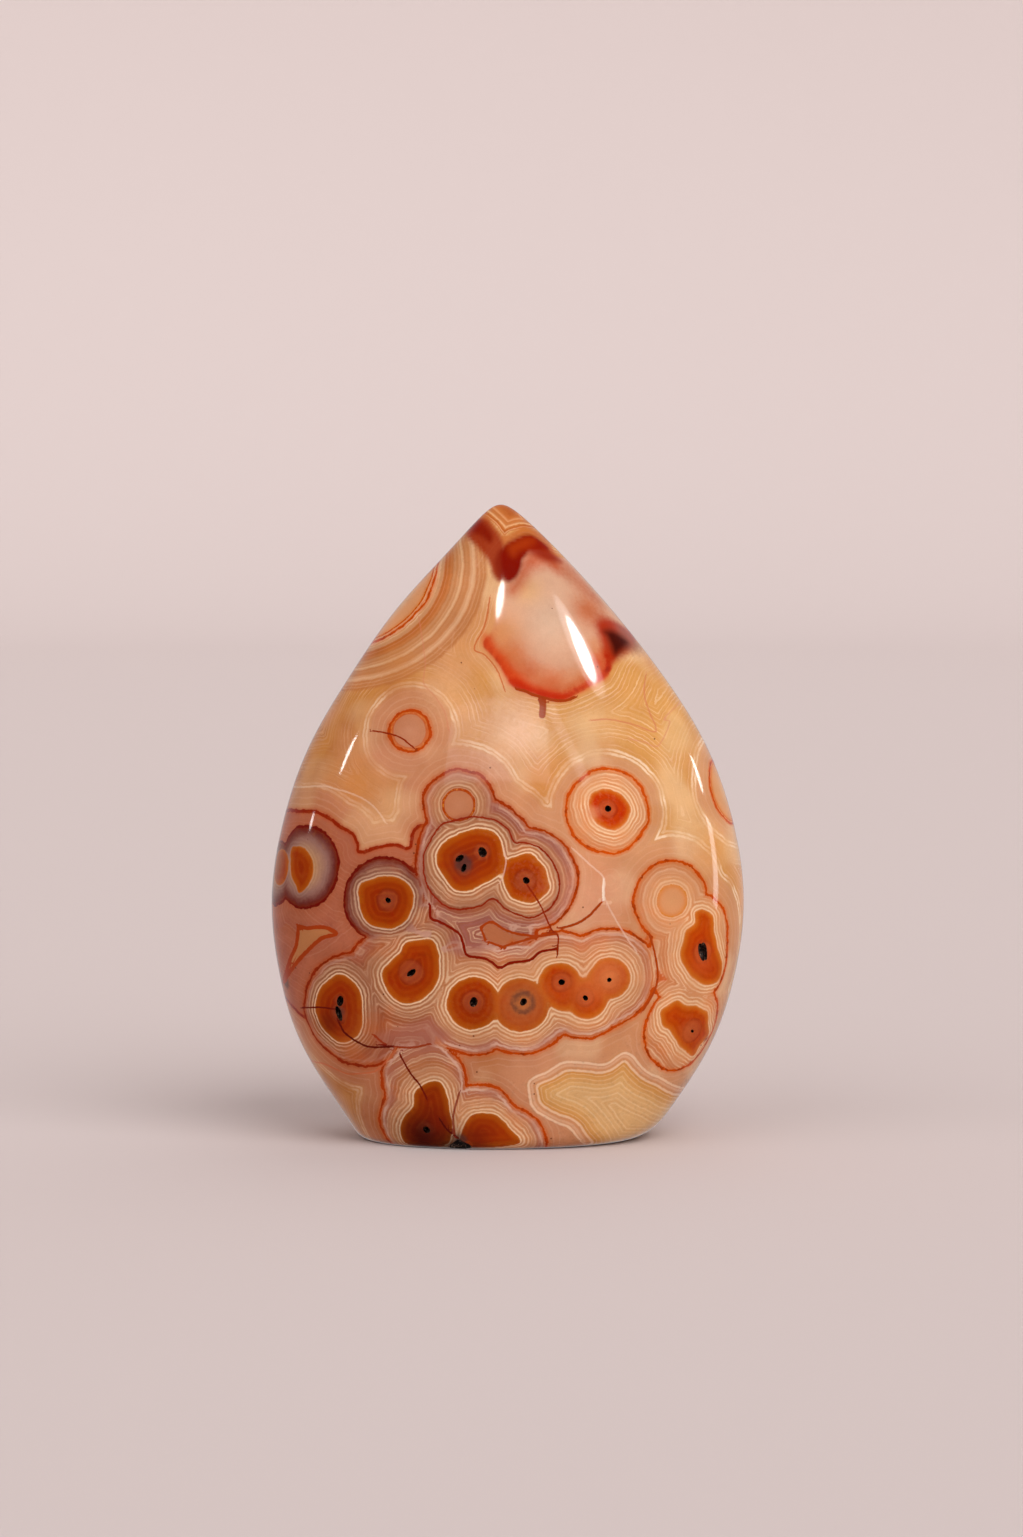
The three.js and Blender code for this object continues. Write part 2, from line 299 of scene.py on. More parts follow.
# An eye has a core, given as balls (x, z, radius) or as an outline (x, z), and a rim, given as balls.
# light: 0 dark red-brown, 1 pale peach. coreLight: the core's own light, where it differs. hollow: 1 has no
# orange core, only its ring. ring: half width of the orange line round a hollow core. red: how red the core
# is. mauve: how purple the zone inside the rim is. shadow: how dark that zone gets. smoke: how grey it is.
# near: how much closer than usual the cream lines come. Whatever an eye doesn't name is 0.
eyes = {
    "high ring": dict(
        core=[(-14.4, 62, 2.8)], rim=[(-14.4, 62, 3.1)], light=0.7, coreLight=0.35, hollow=1, ring=0.26),
    "bright eye": dict(
        outline=[(13.6, 53.5), (15, 53.6), (16.4, 53), (17.4, 52), (18, 50.8), (17.7, 49.5), (16.9, 48.4),
                 (15.6, 47.8), (14, 48.3), (12.7, 49.2), (12.2, 50.3), (12, 51.6), (12.4, 52.8)],
        rim=[(14.7, 50.5, 6.2)], light=1, coreLight=0.85, near=1.4, red=0.8),
    "middle left": dict(
        outline=[(-10.3, 43.4), (-9.9, 45.2), (-8.4, 46.6), (-6.6, 47.4), (-4.3, 48), (-2.2, 47.5),
                 (-1.1, 46.4), (-0.6, 44.6), (-0.5, 42.7), (-1.5, 41.1), (-3.3, 40.1), (-5.5, 38.9),
                 (-7.7, 39.1), (-9.7, 41.5)],
        rim=[(-4.6, 43.9, 8.8), (-4.8, 41.5, 8.5), (-8, 33.8, 3.2), (-5, 32.6, 3), (-2, 33.2, 3.2),
             (2.2, 32.8, 2)],
        light=0.36, coreLight=0.3, mauve=0.8),
    "middle right": dict(
        outline=[(-0.6, 42), (0.1, 43.5), (1.5, 44), (3.3, 44.3), (5.2, 42.7), (5.8, 41.3), (6.1, 39.1),
                 (4.3, 37.5), (2.6, 37.3), (0.7, 38.1), (-0.3, 39.8)],
        rim=[(2.7, 40.6, 7.6)], light=0.5, coreLight=0.4, mauve=0.8),
    "small ring": dict(
        core=[(-7.1, 51.4, 2.3)], rim=[(-7.1, 51.4, 5.3)], light=0.4, hollow=1, mauve=0.4, ring=0.13),
    "left middle": dict(
        outline=[(-21.8, 39.2), (-20.2, 40.4), (-17.5, 40.9), (-15, 40.3), (-13.8, 38.3), (-14.1, 35.8),
                 (-15.4, 34), (-17.5, 33.2), (-20.2, 33.8), (-21.5, 36.1)],
        rim=[(-18.1, 37.4, 6.2)], light=0.15, shadow=1, smoke=0.36, mauve=0.5),
    "left low": dict(
        outline=[(-15.7, 29.8), (-15, 31.2), (-13.5, 31.6), (-11.3, 31.7), (-10.2, 29.9), (-9.9, 27.3),
                 (-10.5, 24.9), (-12.1, 23.2), (-14, 22.4), (-16.1, 22.5), (-17.7, 24.1), (-18.4, 26.6),
                 (-17.2, 28.3)],
        rim=[(-15.5, 25.4, 8.5), (-12.2, 34.8, 2.8), (-9.6, 32.4, 2.4)], light=0.35, mauve=0.5),
    "left edge low": dict(
        outline=[(-26.9, 24.7), (-24.7, 26.2), (-22.4, 24.7), (-21.5, 22.5), (-21.4, 19.4), (-22.2, 17.1),
                 (-24, 15.8), (-25.8, 16.2), (-27.6, 18.2), (-28.4, 20.4), (-28, 22.8)],
        rim=[(-25, 20, 6.4), (-22.4, 20.8, 8.6)], light=0.2, mauve=0.4),
    "left edge high": dict(
        outline=[(-32.1, 44), (-31.2, 44.6), (-29.8, 44.2), (-28.7, 42.5), (-28.7, 40.6), (-29.6, 38.8),
                 (-30.8, 37.8), (-31.3, 38.9), (-32.1, 40.5)],
        rim=[(-30, 41.7, 6.1)], light=0.2, shadow=1, smoke=0.9, mauve=0.5),
    "left edge far": dict(
        core=[(-33.9, 41.2, 2.7)], rim=[(-34.4, 40.2, 4.8)],
        light=0.2, coreLight=0.2, shadow=0.8, smoke=0.9, mauve=0.5),
    "string one": dict(
        core=[(-5, 22.4, 3.9)], rim=[(-5.2, 23.2, 8.5), (-12.6, 17, 2.4), (-15.2, 17.2, 2.2)],
        light=0.6, coreLight=0.3, mauve=0.7),
    "string two": dict(core=[(2, 22.1, 4)], rim=[(1.8, 23.2, 8.4)], light=0.75, coreLight=0.5, mauve=0.7),
    "string three": dict(
        core=[(7.6, 25.2, 3.2), (8.3, 23.4, 2.2), (11.7, 22.9, 3), (15, 26, 3.1)],
        rim=[(7.6, 25.5, 7.5), (11.5, 23.2, 6.2), (14.7, 26.1, 7.3)], light=0.8, coreLight=0.75, mauve=0.45),
    "right ring": dict(core=[(24.2, 37.1, 2.4)], rim=[(24.2, 37.1, 5.9)], light=0.85, hollow=1, ring=0.02),
    "right long": dict(
        outline=[(27.7, 35.1), (29, 35.5), (30.4, 34.4), (30.6, 32.4), (31.3, 29.2), (31.9, 26.8), (31.3, 24.6),
                 (29.7, 24.1), (28, 24.9), (26.6, 26.3), (25.5, 28.7), (25.9, 31), (26.2, 32.6), (27.6, 33.6)],
        rim=[(27.6, 31.5, 6.6), (27.2, 28, 7.2)], light=0.95, coreLight=0.8),
    "right low": dict(
        outline=[(25, 22.3), (26.4, 21.2), (28.1, 21), (29.6, 19.8), (29.8, 18), (30, 16.2), (28.7, 14.8),
                 (27.6, 13.2), (26, 14.6), (24.8, 16.2), (24, 17.6), (22.8, 18.6), (22.6, 20.6), (23.6, 21.4)],
        rim=[(26.3, 17.9, 6.9)], light=0.95, coreLight=0.8, mauve=0.15),
    "right edge ring": dict(
        core=[(32.3, 52.3, 4.5)], rim=[(32.3, 52.3, 4.9)], light=1, hollow=1, near=0.5, ring=0.06),
    "foot dark": dict(
        outline=[(-11.4, 10.4), (-9.8, 10.2), (-8.9, 8.3), (-8.6, 5.9), (-8.2, 3.9), (-8.5, 1.5), (-10, 0.3),
                 (-13, 0.2), (-15.2, 0.8), (-15.8, 3), (-15.3, 4.8), (-13.9, 6.6), (-13.8, 8.8)],
        rim=[(-12.1, 7.9, 6.2), (-13.2, 3.5, 6.2), (-12.3, 10.6, 6.4)], light=0.65, coreLight=0.1, mauve=0.55),
    "foot dome": dict(
        outline=[(-6, 4.7), (-4.3, 5.8), (-1.8, 5.5), (0.1, 3.7), (1.9, 1.3), (-1.1, 0.5), (-5.5, 0.5),
                 (-7, 1.6)],
        rim=[(-4.6, 4.2, 6.2), (-1, 0.5, 6.8)], light=0.8, coreLight=0.35, mauve=0.6),
    "shoulder arc": dict(
        core=[(-18.6, 83, 8.2)], rim=[(-18.6, 83, 8.9)], light=0.85, hollow=1, near=3.3, ring=0.1),
    "back high": backEye([(9, 66.5, 2.6)], 4.8, light=0.6, mauve=0.1, near=0.8),
    "back high ring": backEye([(-8.5, 70, 2.9)], 3.2, light=0.6, hollow=1),
    "back middle one": backEye([(-2.5, 49, 3.4), (0.4, 47.6, 2.6)], 7.2, light=0.3, mauve=0.7),
    "back middle two": backEye([(5.8, 44.2, 3.1)], 7.4, light=0.35, mauve=0.7),
    "back right": backEye([(20.5, 48, 3.2), (21.5, 45.4, 2.4)], 6.6, light=0.8, near=0.9),
    "back right low": backEye([(23, 30.5, 3.3)], 6.8, light=0.7, mauve=0.2),
    "back left": backEye([(-20, 43, 3.6)], 7.6, light=0.2, mauve=0.9),
    "back left ring": backEye([(-18.5, 56.5, 2.1)], 5, light=0.4, hollow=1, mauve=0.3),
    "back string one": backEye([(-16, 25, 3.5), (-14.6, 22.8, 2.7)], 8.2, light=0.25, mauve=0.7),
    "back string two": backEye([(-8.4, 21, 3.4)], 7.8, light=0.35, mauve=0.7),
    "back string three": backEye([(-0.9, 22.8, 3.8)], 8, light=0.5, mauve=0.6),
    "back string four": backEye([(6.9, 20.2, 2.9)], 7, light=0.6, mauve=0.5),
    "back low": backEye([(18, 11.5, 2.9), (19.6, 9.4, 2.2)], 6.4, light=0.7, mauve=0.3),
    "back foot": backEye([(-13, 3, 3)], 6.2, light=0.15, mauve=0.7),
}

# Places inside the show face where the colour changes softly: balls (x, z, radius)
clouds = {
    "stain": [(-6.5, 0.4, 1), (29.6, 15.6, 0.4)],
    "soot": [(-6.4, 42.9, 1.3), (-24.8, 20.6, 0.8), (-7, 1.6, 1), (-33, 23.9, 1), (-5, 22.5, 0.4),
             (28.8, 29.4, 0.4)],
}
sootRing = {"centre": (2.3, 22.5), "radius": 1.4, "halfWidth": 0.42}

# The belt round the left eyes, inside which the stone is terracotta
belt = [(-33, 49.4), (-30, 49.8), (-28, 49.8), (-24.9, 48.1), (-23.1, 47.2), (-22.1, 45.6), (-21.8, 44.3),
        (-19.4, 45), (-16.5, 45.5), (-14.5, 45.2), (-14, 46.6), (-12.8, 48.3), (-10, 47), (-9, 40), (-11.5, 33),
        (-16, 27), (-22, 22), (-28, 19), (-31.4, 19.8), (-34, 22.3), (-35.1, 24.4), (-35.6, 26.8),
        (-35.5, 28.6), (-36.7, 30.2), (-37.5, 32.6), (-37.5, 35.4), (-36.8, 37.9), (-36, 39.6), (-36.6, 41.6),
        (-36.7, 44.2), (-35.9, 46.6), (-34.2, 48.4)]

# Soft patches of colour: x, z, how far they reach, colour, and how strongly they cover
washes = [
    (3, 82.4, 2.2, (214, 160, 104), 0.7),
    (6.4, 78, 4, (214, 178, 150), 0.7),
    (11.8, 79.6, 2.6, (188, 96, 52), 0.85),
    (14.2, 77.6, 1.8, (172, 62, 26), 0.7),
    (-0.6, 76.4, 2.6, (214, 146, 92), 0.7),
    (0.6, 73.2, 2.2, (200, 104, 54), 0.7),
    (3, 70.6, 2, (190, 84, 40), 0.7),
    (6.6, 69, 2, (196, 92, 48), 0.7),
    (13.2, 71.8, 1.4, (200, 76, 42), 0.75),
    # a pale patch where the top pane is mirrored: partly painted reflection, partly the stone's own pale tone
    (1.5, 62, 4.5, (232, 190, 160), 0.6),
    (13, 63, 4, (224, 180, 132), 0.5),
    (-14.4, 59, 5, (200, 140, 106), 0.4),
    (4.5, 55, 3, (204, 128, 68), 0.5),
    (12.4, 50.2, 1, (214, 136, 96), 0.8),
    (-16, 71.5, 3, (196, 124, 62), 0.4),
    (-8.6, 67.4, 4, (222, 170, 124), 0.5),
    (-22, 54, 3, (204, 128, 54), 0.4),
    (-29, 12, 3, (198, 134, 74), 0.5),
    (-23, 14.4, 2.4, (190, 98, 46), 0.6),
    (-20, 18, 2.4, (186, 92, 40), 0.5),
    (30, 44, 4, (208, 142, 76), 0.6),
    (25, 62, 5, (216, 164, 98), 0.5),
    (2.2, 22.4, 3.2, (178, 108, 58), 0.75),
    (11.4, 24.4, 2.8, (204, 104, 52), 0.5),
    (15, 26.2, 2.5, (210, 120, 66), 0.75),
    (12.8, 37.8, 5.6, (212, 138, 106), 0.6),
    (28.8, 27.6, 2, (196, 88, 38), 0.45),
    (26.8, 17.4, 1.6, (206, 104, 52), 0.5),
    (-6.5, 42.6, 1.8, (112, 44, 28), 0.65),
    (-34.2, 41.6, 2.2, (160, 98, 52), 0.7),
    (-26.6, 18.6, 2, (96, 22, 6), 0.6),
    (-12.4, 1.6, 3.8, (66, 10, 3), 0.97),
    (-9.6, 4.4, 1.8, (126, 28, 6), 0.6),
    (-7.4, 0, 3, (44, 8, 4), 0.95),
    (-4.4, 1.4, 2, (126, 30, 6), 0.7),
]

# Two corners of plain stone between the zones, used as fillings and as lines
leftCorner = [(-30.9, 32.9), (-29.6, 32.7), (-27.6, 33), (-26.1, 32.8), (-25.2, 32.1), (-27.3, 31.4),
              (-29.3, 29.6), (-31.2, 27.4), (-32.7, 25.2), (-32.3, 27.6), (-31.3, 30)]
middleCorner = [(-3.9, 33.6), (-3.7, 33.8), (-2.5, 34.5), (-2.2, 34.5), (-0.6, 33.4), (1.4, 32.7), (4, 32.3),
                (4.1, 32.2), (1.4, 31.4), (-0.7, 30.8), (-0.9, 30.8), (-3, 31.6), (-3.2, 31.8)]

# Patches of colour with an outline: places, colour, how strongly they cover, and how soft the edge is
fillings = [
    (leftCorner, (180, 118, 72), 0.9, 0.2),
    (middleCorner, (178, 104, 66), 0.95, 0.2),
    ([(-19.6, 17.2), (-17, 18.3), (-14.6, 19.1), (-11.4, 20.1), (-9.9, 18.9), (-8.1, 17.5), (-11.7, 16.1),
      (-15.8, 15.7), (-18.5, 15.9)], (166, 100, 80), 0.65, 0.7),
    # small triangles of plain stone between the zones on the right
    ([(22, 27.3), (22.7, 26.4), (23.6, 25.4), (22.8, 25.2), (21.9, 25.1)], (198, 90, 36), 0.9, 0.15),
    ([(20.9, 32.5), (20.4, 32), (20, 31.5), (20.6, 31), (21, 30.6)], (196, 84, 32), 0.9, 0.15),
    # under the tip: a purple fade down the right edge, a pink haze, the dark branch and the red body
    ([(-5, 93.2), (-3.3, 92.4), (-1.6, 90.6), (-0.5, 88.8), (1, 89.8), (3, 90.6), (5, 89.6), (6.8, 88),
      (5.6, 90.2), (2.4, 91.8), (-0.5, 90.6), (-3.2, 93.6)], (184, 98, 42), 0.85, 0.35),
    ([(4, 90.4), (6.6, 88.7), (9.3, 86.1), (11.5, 83.7), (13.4, 81.5), (14.4, 79.9), (13, 80.4), (10.8, 82.2),
      (8, 84.6), (5.4, 87)], (176, 86, 50), 0.6, 1.4),
    ([(2.2, 87.2), (3.3, 88.5), (5.6, 88.5), (7.4, 86.7), (7.8, 85.1), (5.6, 86), (3.6, 85.2), (2.2, 83.1),
      (1, 82), (0, 82.6), (1.2, 84.6)], (180, 70, 30), 0.8, 1.5),
    ([(-6.2, 90.8), (-5.2, 92.2), (-4.2, 93), (-3, 92.8), (-2.1, 91.7), (-1.3, 90.7), (-0.5, 89), (-0.5, 87.5),
      (-0.4, 84.9), (-1.1, 83.8), (-2.1, 84.6), (-2.7, 86.4), (-3.6, 87.8), (-4.8, 89.1),
      (-5.9, 90)], (150, 44, 10), 0.95, 0.5),
    ([(-5.4, 91.8), (-4.2, 92.6), (-3, 91.8), (-2.2, 90.4), (-2.6, 89.4), (-4, 90.4),
      (-5.4, 91)], (128, 22, 1), 0.97, 0.55),
    ([(-1.2, 88.4), (-0.5, 88), (-0.4, 84.9), (-1, 83.9), (-1.7, 85.2), (-1.9, 86.8)], (128, 26, 6), 0.8, 0.5),
    ([(-0.5, 89), (0.8, 89.9), (2.8, 90.7), (4.4, 90.1), (6.2, 88.4), (4.8, 88.3), (3.4, 88.3), (2.8, 87.6),
      (2.2, 86.9), (2, 85.8), (1.4, 84.5), (0.3, 83.7), (-0.5, 84), (-0.8, 84.9),
      (-1, 87.5)], (126, 14, 0), 1, 0.4),
    ([(2.8, 88.6), (5, 89.4), (6.6, 88), (8, 86.6), (6.4, 86.6), (4.2, 87.4)], (138, 24, 2), 0.85, 0.8),
    ([(0, 88.8), (1.2, 89.6), (2.8, 90.2), (4.2, 89.8), (3.4, 89), (1.8, 88.2),
      (0.8, 87.4)], (172, 58, 8), 0.65, 0.9),
    # the window's red lower edge and the dark blotch at its right
    ([(-3.6, 74.6), (-1.8, 72.4), (-0.2, 69.5), (0.8, 68.5), (4, 67.3), (6.7, 66.6), (8.6, 66.5), (10.7, 67.6),
      (13.3, 68.8), (14.8, 69.9), (13.9, 70.5), (12.4, 69.4), (10.2, 68.2), (8.2, 67.6), (6, 68.2), (4, 68.8),
      (1.8, 70.4), (0.1, 72.4), (-1.5, 74), (-2.4, 75.6), (-3.4, 76.2)], (204, 62, 14), 0.72, 0.8),
    ([(0.2, 69.5), (1.6, 68.3), (4, 67.3), (6.7, 66.6), (8.6, 66.6), (9.6, 67.3), (8, 67.5), (6, 67.8),
      (4, 68.3), (1.8, 69.5)], (184, 32, 4), 0.8, 0.5),
    ([(13.2, 77.5), (14.9, 78.2), (17.2, 77), (19.4, 75.2), (18.6, 73.6), (16.6, 72.4), (15.1, 71.5),
      (14.2, 72.8), (13.8, 74.9)], (164, 36, 6), 0.9, 0.9),
    ([(16.2, 77.2), (17.2, 76.8), (18.8, 75.1), (20.1, 73.6), (19.4, 73), (18, 73.5),
      (16.9, 74.8)], (144, 88, 74), 0.65, 1.2),
    ([(14.3, 76.4), (15.5, 76.5), (17, 75.6), (18, 74.5), (16.9, 73.4), (15.8, 72.9), (15.2, 74.4),
      (14.7, 75.6)], (62, 8, 2), 0.97, 0.95),
]

# The cloudy window, its red lower edge, the cap at the tip, and the dark loop inside the middle eyes' rim
window = [(2.2, 87.3), (3.3, 88.6), (6.5, 87.6), (10.5, 86.2), (13.4, 84.2), (17.2, 80.4), (18.8, 77.8),
          (19.2, 75.4), (16.8, 73.7), (14.7, 70), (13.2, 69), (10.2, 67.6), (7.7, 66.6), (5.8, 66.9),
          (4.3, 67.5), (2.1, 68.1), (0.4, 69.4), (-1.5, 72.4), (-3.3, 74.5), (-2.6, 76), (-1.7, 78.2),
          (-1.1, 81.1), (-0.5, 83.7)]
redEdge = [(-3.3, 75.4), (-3.1, 74.4), (-1.5, 72.5), (0.4, 69.5), (2.1, 68.3), (4.3, 67.7), (5.8, 67.1),
           (7.7, 66.8), (10.2, 67.8), (13.2, 69.3), (14.6, 70.6), (15, 72.6)]
tipChevron = [(-12, 93), (-5, 93.6), (-3.3, 93.3), (-1.6, 92), (-0.5, 90.4), (0.3, 91), (2.4, 91.6), (4, 91.4),
              (6, 90.8), (12, 92), (6, 96), (-1, 98), (-5, 96)]
darkLoop = [(-12.2, 43.4), (-11.6, 45.6), (-9.9, 48.1), (-7.7, 49.2), (-4.7, 49.7), (-1.8, 49.1), (-0.1, 48),
            (1, 46.1), (3.3, 45.9), (5.5, 44.6), (7, 42.4), (7.7, 39.8), (7.1, 37.6), (5.5, 35.9), (3.3, 35.1),
            (0.7, 35.9), (-2, 37.8), (-3.7, 36.8), (-6.2, 36.2), (-8.4, 36.4), (-10.1, 37.6), (-11.6, 39.7)]

# A ground of plain stone with bands of its own, nested inside its outline
ground = [(3.2, 10.6), (5.5, 11.9), (8.5, 13.4), (11.4, 13.3), (14.4, 13), (17.5, 14.6), (20.6, 11.5),
          (24.2, 9.2), (30, 4), (24, -3), (14.6, -3), (12, -0.3), (9.4, 3.2), (7.1, 4.4), (4, 6.3), (3.3, 8.6)]

# Places where the zones of three eyes meet without a corner of plain stone between them
meetings = [(15, 40.4, 2.6), (21.9, 26.2, 1.2)]
backMeetings = [(15.6, 35.9, 1.8)]

# Lines in the show face: tone (0 dark, 0.35 dark red, 0.7 orange, 1 cream), half width, strength, and the
# places they run through
lines = [
    (0.35, 0.15, 1, [(-11.3, 36.8), (-11.2, 34.9), (-9.9, 34.4), (-7.2, 32.8), (-6.5, 31.3), (-5.9, 29.5),
                     (-3.6, 29.1), (-2.3, 28.5), (-1.1, 27.6), (0.4, 28.4), (3.3, 28.8), (4.8, 30), (7, 30.4)]),
    (0.5, 0.24, 1, leftCorner[:9] + [(-33.4, 23.9)]),
    (0.5, 0.22, 1, [(-30.9, 32.9), (-31.3, 30), (-32.3, 27.6), (-33.4, 24.2)]),
    (0.52, 0.14, 1, middleCorner + middleCorner[:1]),
    (0.5, 0.14, 1, [(13.7, 37.1), (12.1, 35.4), (10.3, 34.2), (7.7, 33.4)]),
    (0.55, 0.11, 1, [(20.9, 32.1), (21.5, 30.1), (21.9, 28), (22.1, 25.6), (21.4, 23.3), (19.9, 20.9)]),
    (0.35, 0.1, 0.8, [(-7.1, 8.9), (-8, 5), (-7.7, 2)]),
    (0.5, 0.16, 1, [(1.4, 68.2), (2.6, 67.9), (4, 67.3), (6.7, 66.6), (8.6, 66.5), (9.9, 67)]),
    (0.92, 0.07, 0.5, [(9.6, 45), (12.1, 42.7), (14.1, 40.7), (14.4, 37.5), (16.8, 33), (19, 29.7)]),
    (1, 0.12, 1, [(14.1, 40.5), (14, 37.5)]),
    (0.85, 0.06, 0.65, [(-0.5, 44.9), (-0.2, 43.6), (-0.4, 42), (-0.7, 41), (-1.1, 40.2)]),
    (0.4, 0.07, 1, [(2.9, 39.8), (4.8, 36.9), (6.5, 33.2), (7.4, 32.5), (7.3, 29.5)]),
    (0.2, 0.08, 1, [(-30.4, 20.5), (-27.7, 20.9), (-25.5, 20.8)]),
    (0.15, 0.1, 1, [(-25, 19.2), (-24, 17.3), (-21.8, 15.9), (-20, 15.4), (-16.5, 15.7)]),
    (0.25, 0.09, 1, [(-15.8, 14.4), (-14.3, 11.7), (-12.9, 9.9), (-11.9, 7.9)]),
    (0.1, 0.09, 1, [(-9.9, 4.6), (-8.9, 3.1), (-7.3, 1.9)]),
    (0.4, 0.07, 1, [(-19.9, 61.9), (-18, 61.7), (-15.8, 61.1), (-13.8, 59.7)]),
    (0.75, 0.05, 0.4, [(-13.1, 78.5), (-12.1, 72.2), (-12.3, 69), (-10.6, 67), (-9.2, 64.8), (-8.6, 62.2)]),
    (0.5, 0.14, 1, [(4.4, 32.3), (5.8, 32.5), (7.4, 32.7)]),
    (0.74, 0.06, 0.6, [(20.5, 69.9), (20.2, 67.3), (20.9, 64.7), (21.9, 62.4), (21.5, 61.7), (18.5, 62.9),
                       (14.9, 63.7), (12.4, 63.6)]),
    (0.76, 0.05, 0.5, [(25.7, 65.6), (25, 65.1), (23.1, 63.5), (24, 62.9), (22.2, 59.7), (20.2, 60.3),
                       (18, 60.8)]),
    (0.45, 0.12, 0.9, [(-19.6, 17.2), (-17.6, 15.8), (-14, 15.6), (-11.5, 16.2)]),
    (0.72, 0.08, 0.7, [(-29.6, 11.9), (-27.2, 12), (-24.1, 11), (-22.3, 11.1), (-19.6, 11.7), (-17.6, 13.6),
                       (-16.5, 15.1)]),
    (1, 0.07, 0.25, [(-31.7, 53), (-27.7, 53.6), (-24.7, 53.2), (-21.7, 52.3), (-19.4, 50.8), (-17.9, 48.8)]),
    (0.68, 0.06, 0.7, [(-2.6, 81.4), (-3.3, 77.5), (-4.9, 74.1), (-3.3, 73.1), (-1.5, 70.9), (-0.4, 68.1)]),
    (0.45, 0.75, 0.9, [(4.9, 66.9), (5.2, 65.9), (5.1, 64.4)]),
]

# The bands on the left shoulder run round one centre: x, z, the radius they start at, and how far they go
shoulder = {"centre": (-18.6, 83), "from": 8.4, "width": 9}


def onFace(places, side=-1, wrapped=False):
    # lifts places onto the show face, or onto the back; wrapped runs an x past the edge on round it
    x, z = np.array(places, float).T
    out = x - lean(z)
    past = np.maximum(abs(out) - halfWidth(z), 0) * wrapped
    x = x - 2 * past * np.sign(out)
    return np.column_stack([x, np.where(past > 0, -side, side) * faceDepth(x, z), z])


def laidFlat(points):
    # the other way about: x and z as seen from the front, running on past the edge for the back
    x, z = points[:, 0], points[:, 2]
    out = x - lean(z)
    beyond = np.where(points[:, 1] > 0, 2 * np.maximum(halfWidth(z) - abs(out), 0), 0)
    return np.column_stack([x + beyond * np.where(out < 0, -1, 1), z])


def curveThrough(places, closed, perSpan=6):
    # a cubic over each span, whose slope at a place is half the step between its neighbours
    places = np.array(places, float)
    if closed:
        ends = [np.roll(places, shift, axis=0) for shift in (1, 0, -1, -2)]
    else:
        padded = np.vstack([2 * places[0] - places[1], places, 2 * places[-1] - places[-2]])
        ends = [padded[:-3], padded[1:-2], padded[2:-1], padded[3:]]
    before, here, after, beyond = [end[:, None, :] for end in ends]
    t = np.linspace(0, 1, perSpan, endpoint=False)[None, :, None]
    squared = 2 * before - 5 * here + 4 * after - beyond
    cubed = 3 * here - before - 3 * after + beyond
    bent = squared * t**2 + cubed * t**3
    path = (here + (after - before) * t / 2 + bent / 2).reshape(-1, 2)
    return np.vstack([path, path[:1] if closed else places[-1:]])


def nearestOnPath(points, path):
    # the distance to the nearest stretch of the path, and which stretch that is
    start, run = path[:-1], np.diff(path, axis=0)
    away = points[:, None, :] - start[None]
    share = np.clip((away * run).sum(2) / (run * run).sum(1), 0, 1)
    distance = np.linalg.norm(away - share[:, :, None] * run, axis=2)
    nearest = distance.argmin(1)
    return distance[np.arange(len(points)), nearest], nearest


def inside(places, path):
    # a place is inside when a line from it to the right crosses the path an odd number of times
    (startX, startZ), (endX, endZ) = path[:-1].T, path[1:].T
    x, z = places[:, :1], places[:, 1:]
    spans = (startZ > z) != (endZ > z)
    crossing = startX + (z - startZ) * (endX - startX) / np.where(endZ == startZ, 1, endZ - startZ)
    return (spans & (x < crossing)).sum(1) % 2 == 1


def softMin(first, second, reach):
    # the smaller of two, rounded off where they are within reach of each other
    overlap = np.maximum(reach - abs(first - second), 0) / reach
    return np.minimum(first, second) - overlap**2 * reach / 4


def gapToBalls(points, balls, side=-1, reach=0.8):
    # how far each point is outside the nearest ball, negative inside
    centres = onFace([ball[:2] for ball in balls], side)
    gap = np.full(len(points), 99.0)
    for centre, ball in zip(centres, balls):
        gap = softMin(gap, np.linalg.norm(points - centre, axis=1) - ball[2], reach)
    return gap


def gapToOutline(points, flatPoints, outline, margin=10):
    # how far each point is from an outline drawn on the face, negative inside it
    flat = curveThrough(outline, True)
    lifted = onFace(flat, wrapped=True)
    middle = lifted.mean(0)
    size = np.linalg.norm(lifted - middle, axis=1)
    gap = np.linalg.norm(points - middle, axis=1) - size.mean()
    near = gap < margin
    distance = nearestOnPath(points[near], lifted)[0]
    gap[near] = np.where(inside(flatPoints[near], flat), -distance, distance)
    return gap


def smoothStep(value, low, high):
    share = np.clip((value - low) / (high - low), 0, 1)
    return share * share * (3 - 2 * share)


bands = {
    "creamLines": (3.66, 4.2),  # how far outside a rim the two cream lines run
    "atMeeting": 3,  # how far out the bands already are at a meeting, at the window and at the ground
    "atWindow": 5.2,
    "atGround": 3.4,
    "besideGround": 2.2,
    "groundReach": 3,  # beyond this the ground's own hold fades, this many times as fast as the gap grows
    "groundLetsGo": 3,
    "rimFade": 0.7,  # how softly the eyes' own values pass into each other
    "coreFade": 0.25,
}
capBack = {"level": 92, "from": -0.8, "to": 1.6}  # the cap's lower edge is level behind these depths
paleSideAndPaintedLight = {"lean": 0.25, "middle": 45, "from": -34, "to": 30}  # the right side and the top are painted paler: partly the stone's own tone, partly painted light from the right
redFrom = 60  # no red edge is looked for below this height
farOff = 9.0  # where a distance no longer matters


def eyeValues(name):
    # one value of every eye; a core is as light as the rest of its eye where nothing else is said
    return [eye.get(name, eye["light"] if name == "coreLight" else 0) for eye in eyes.values()]


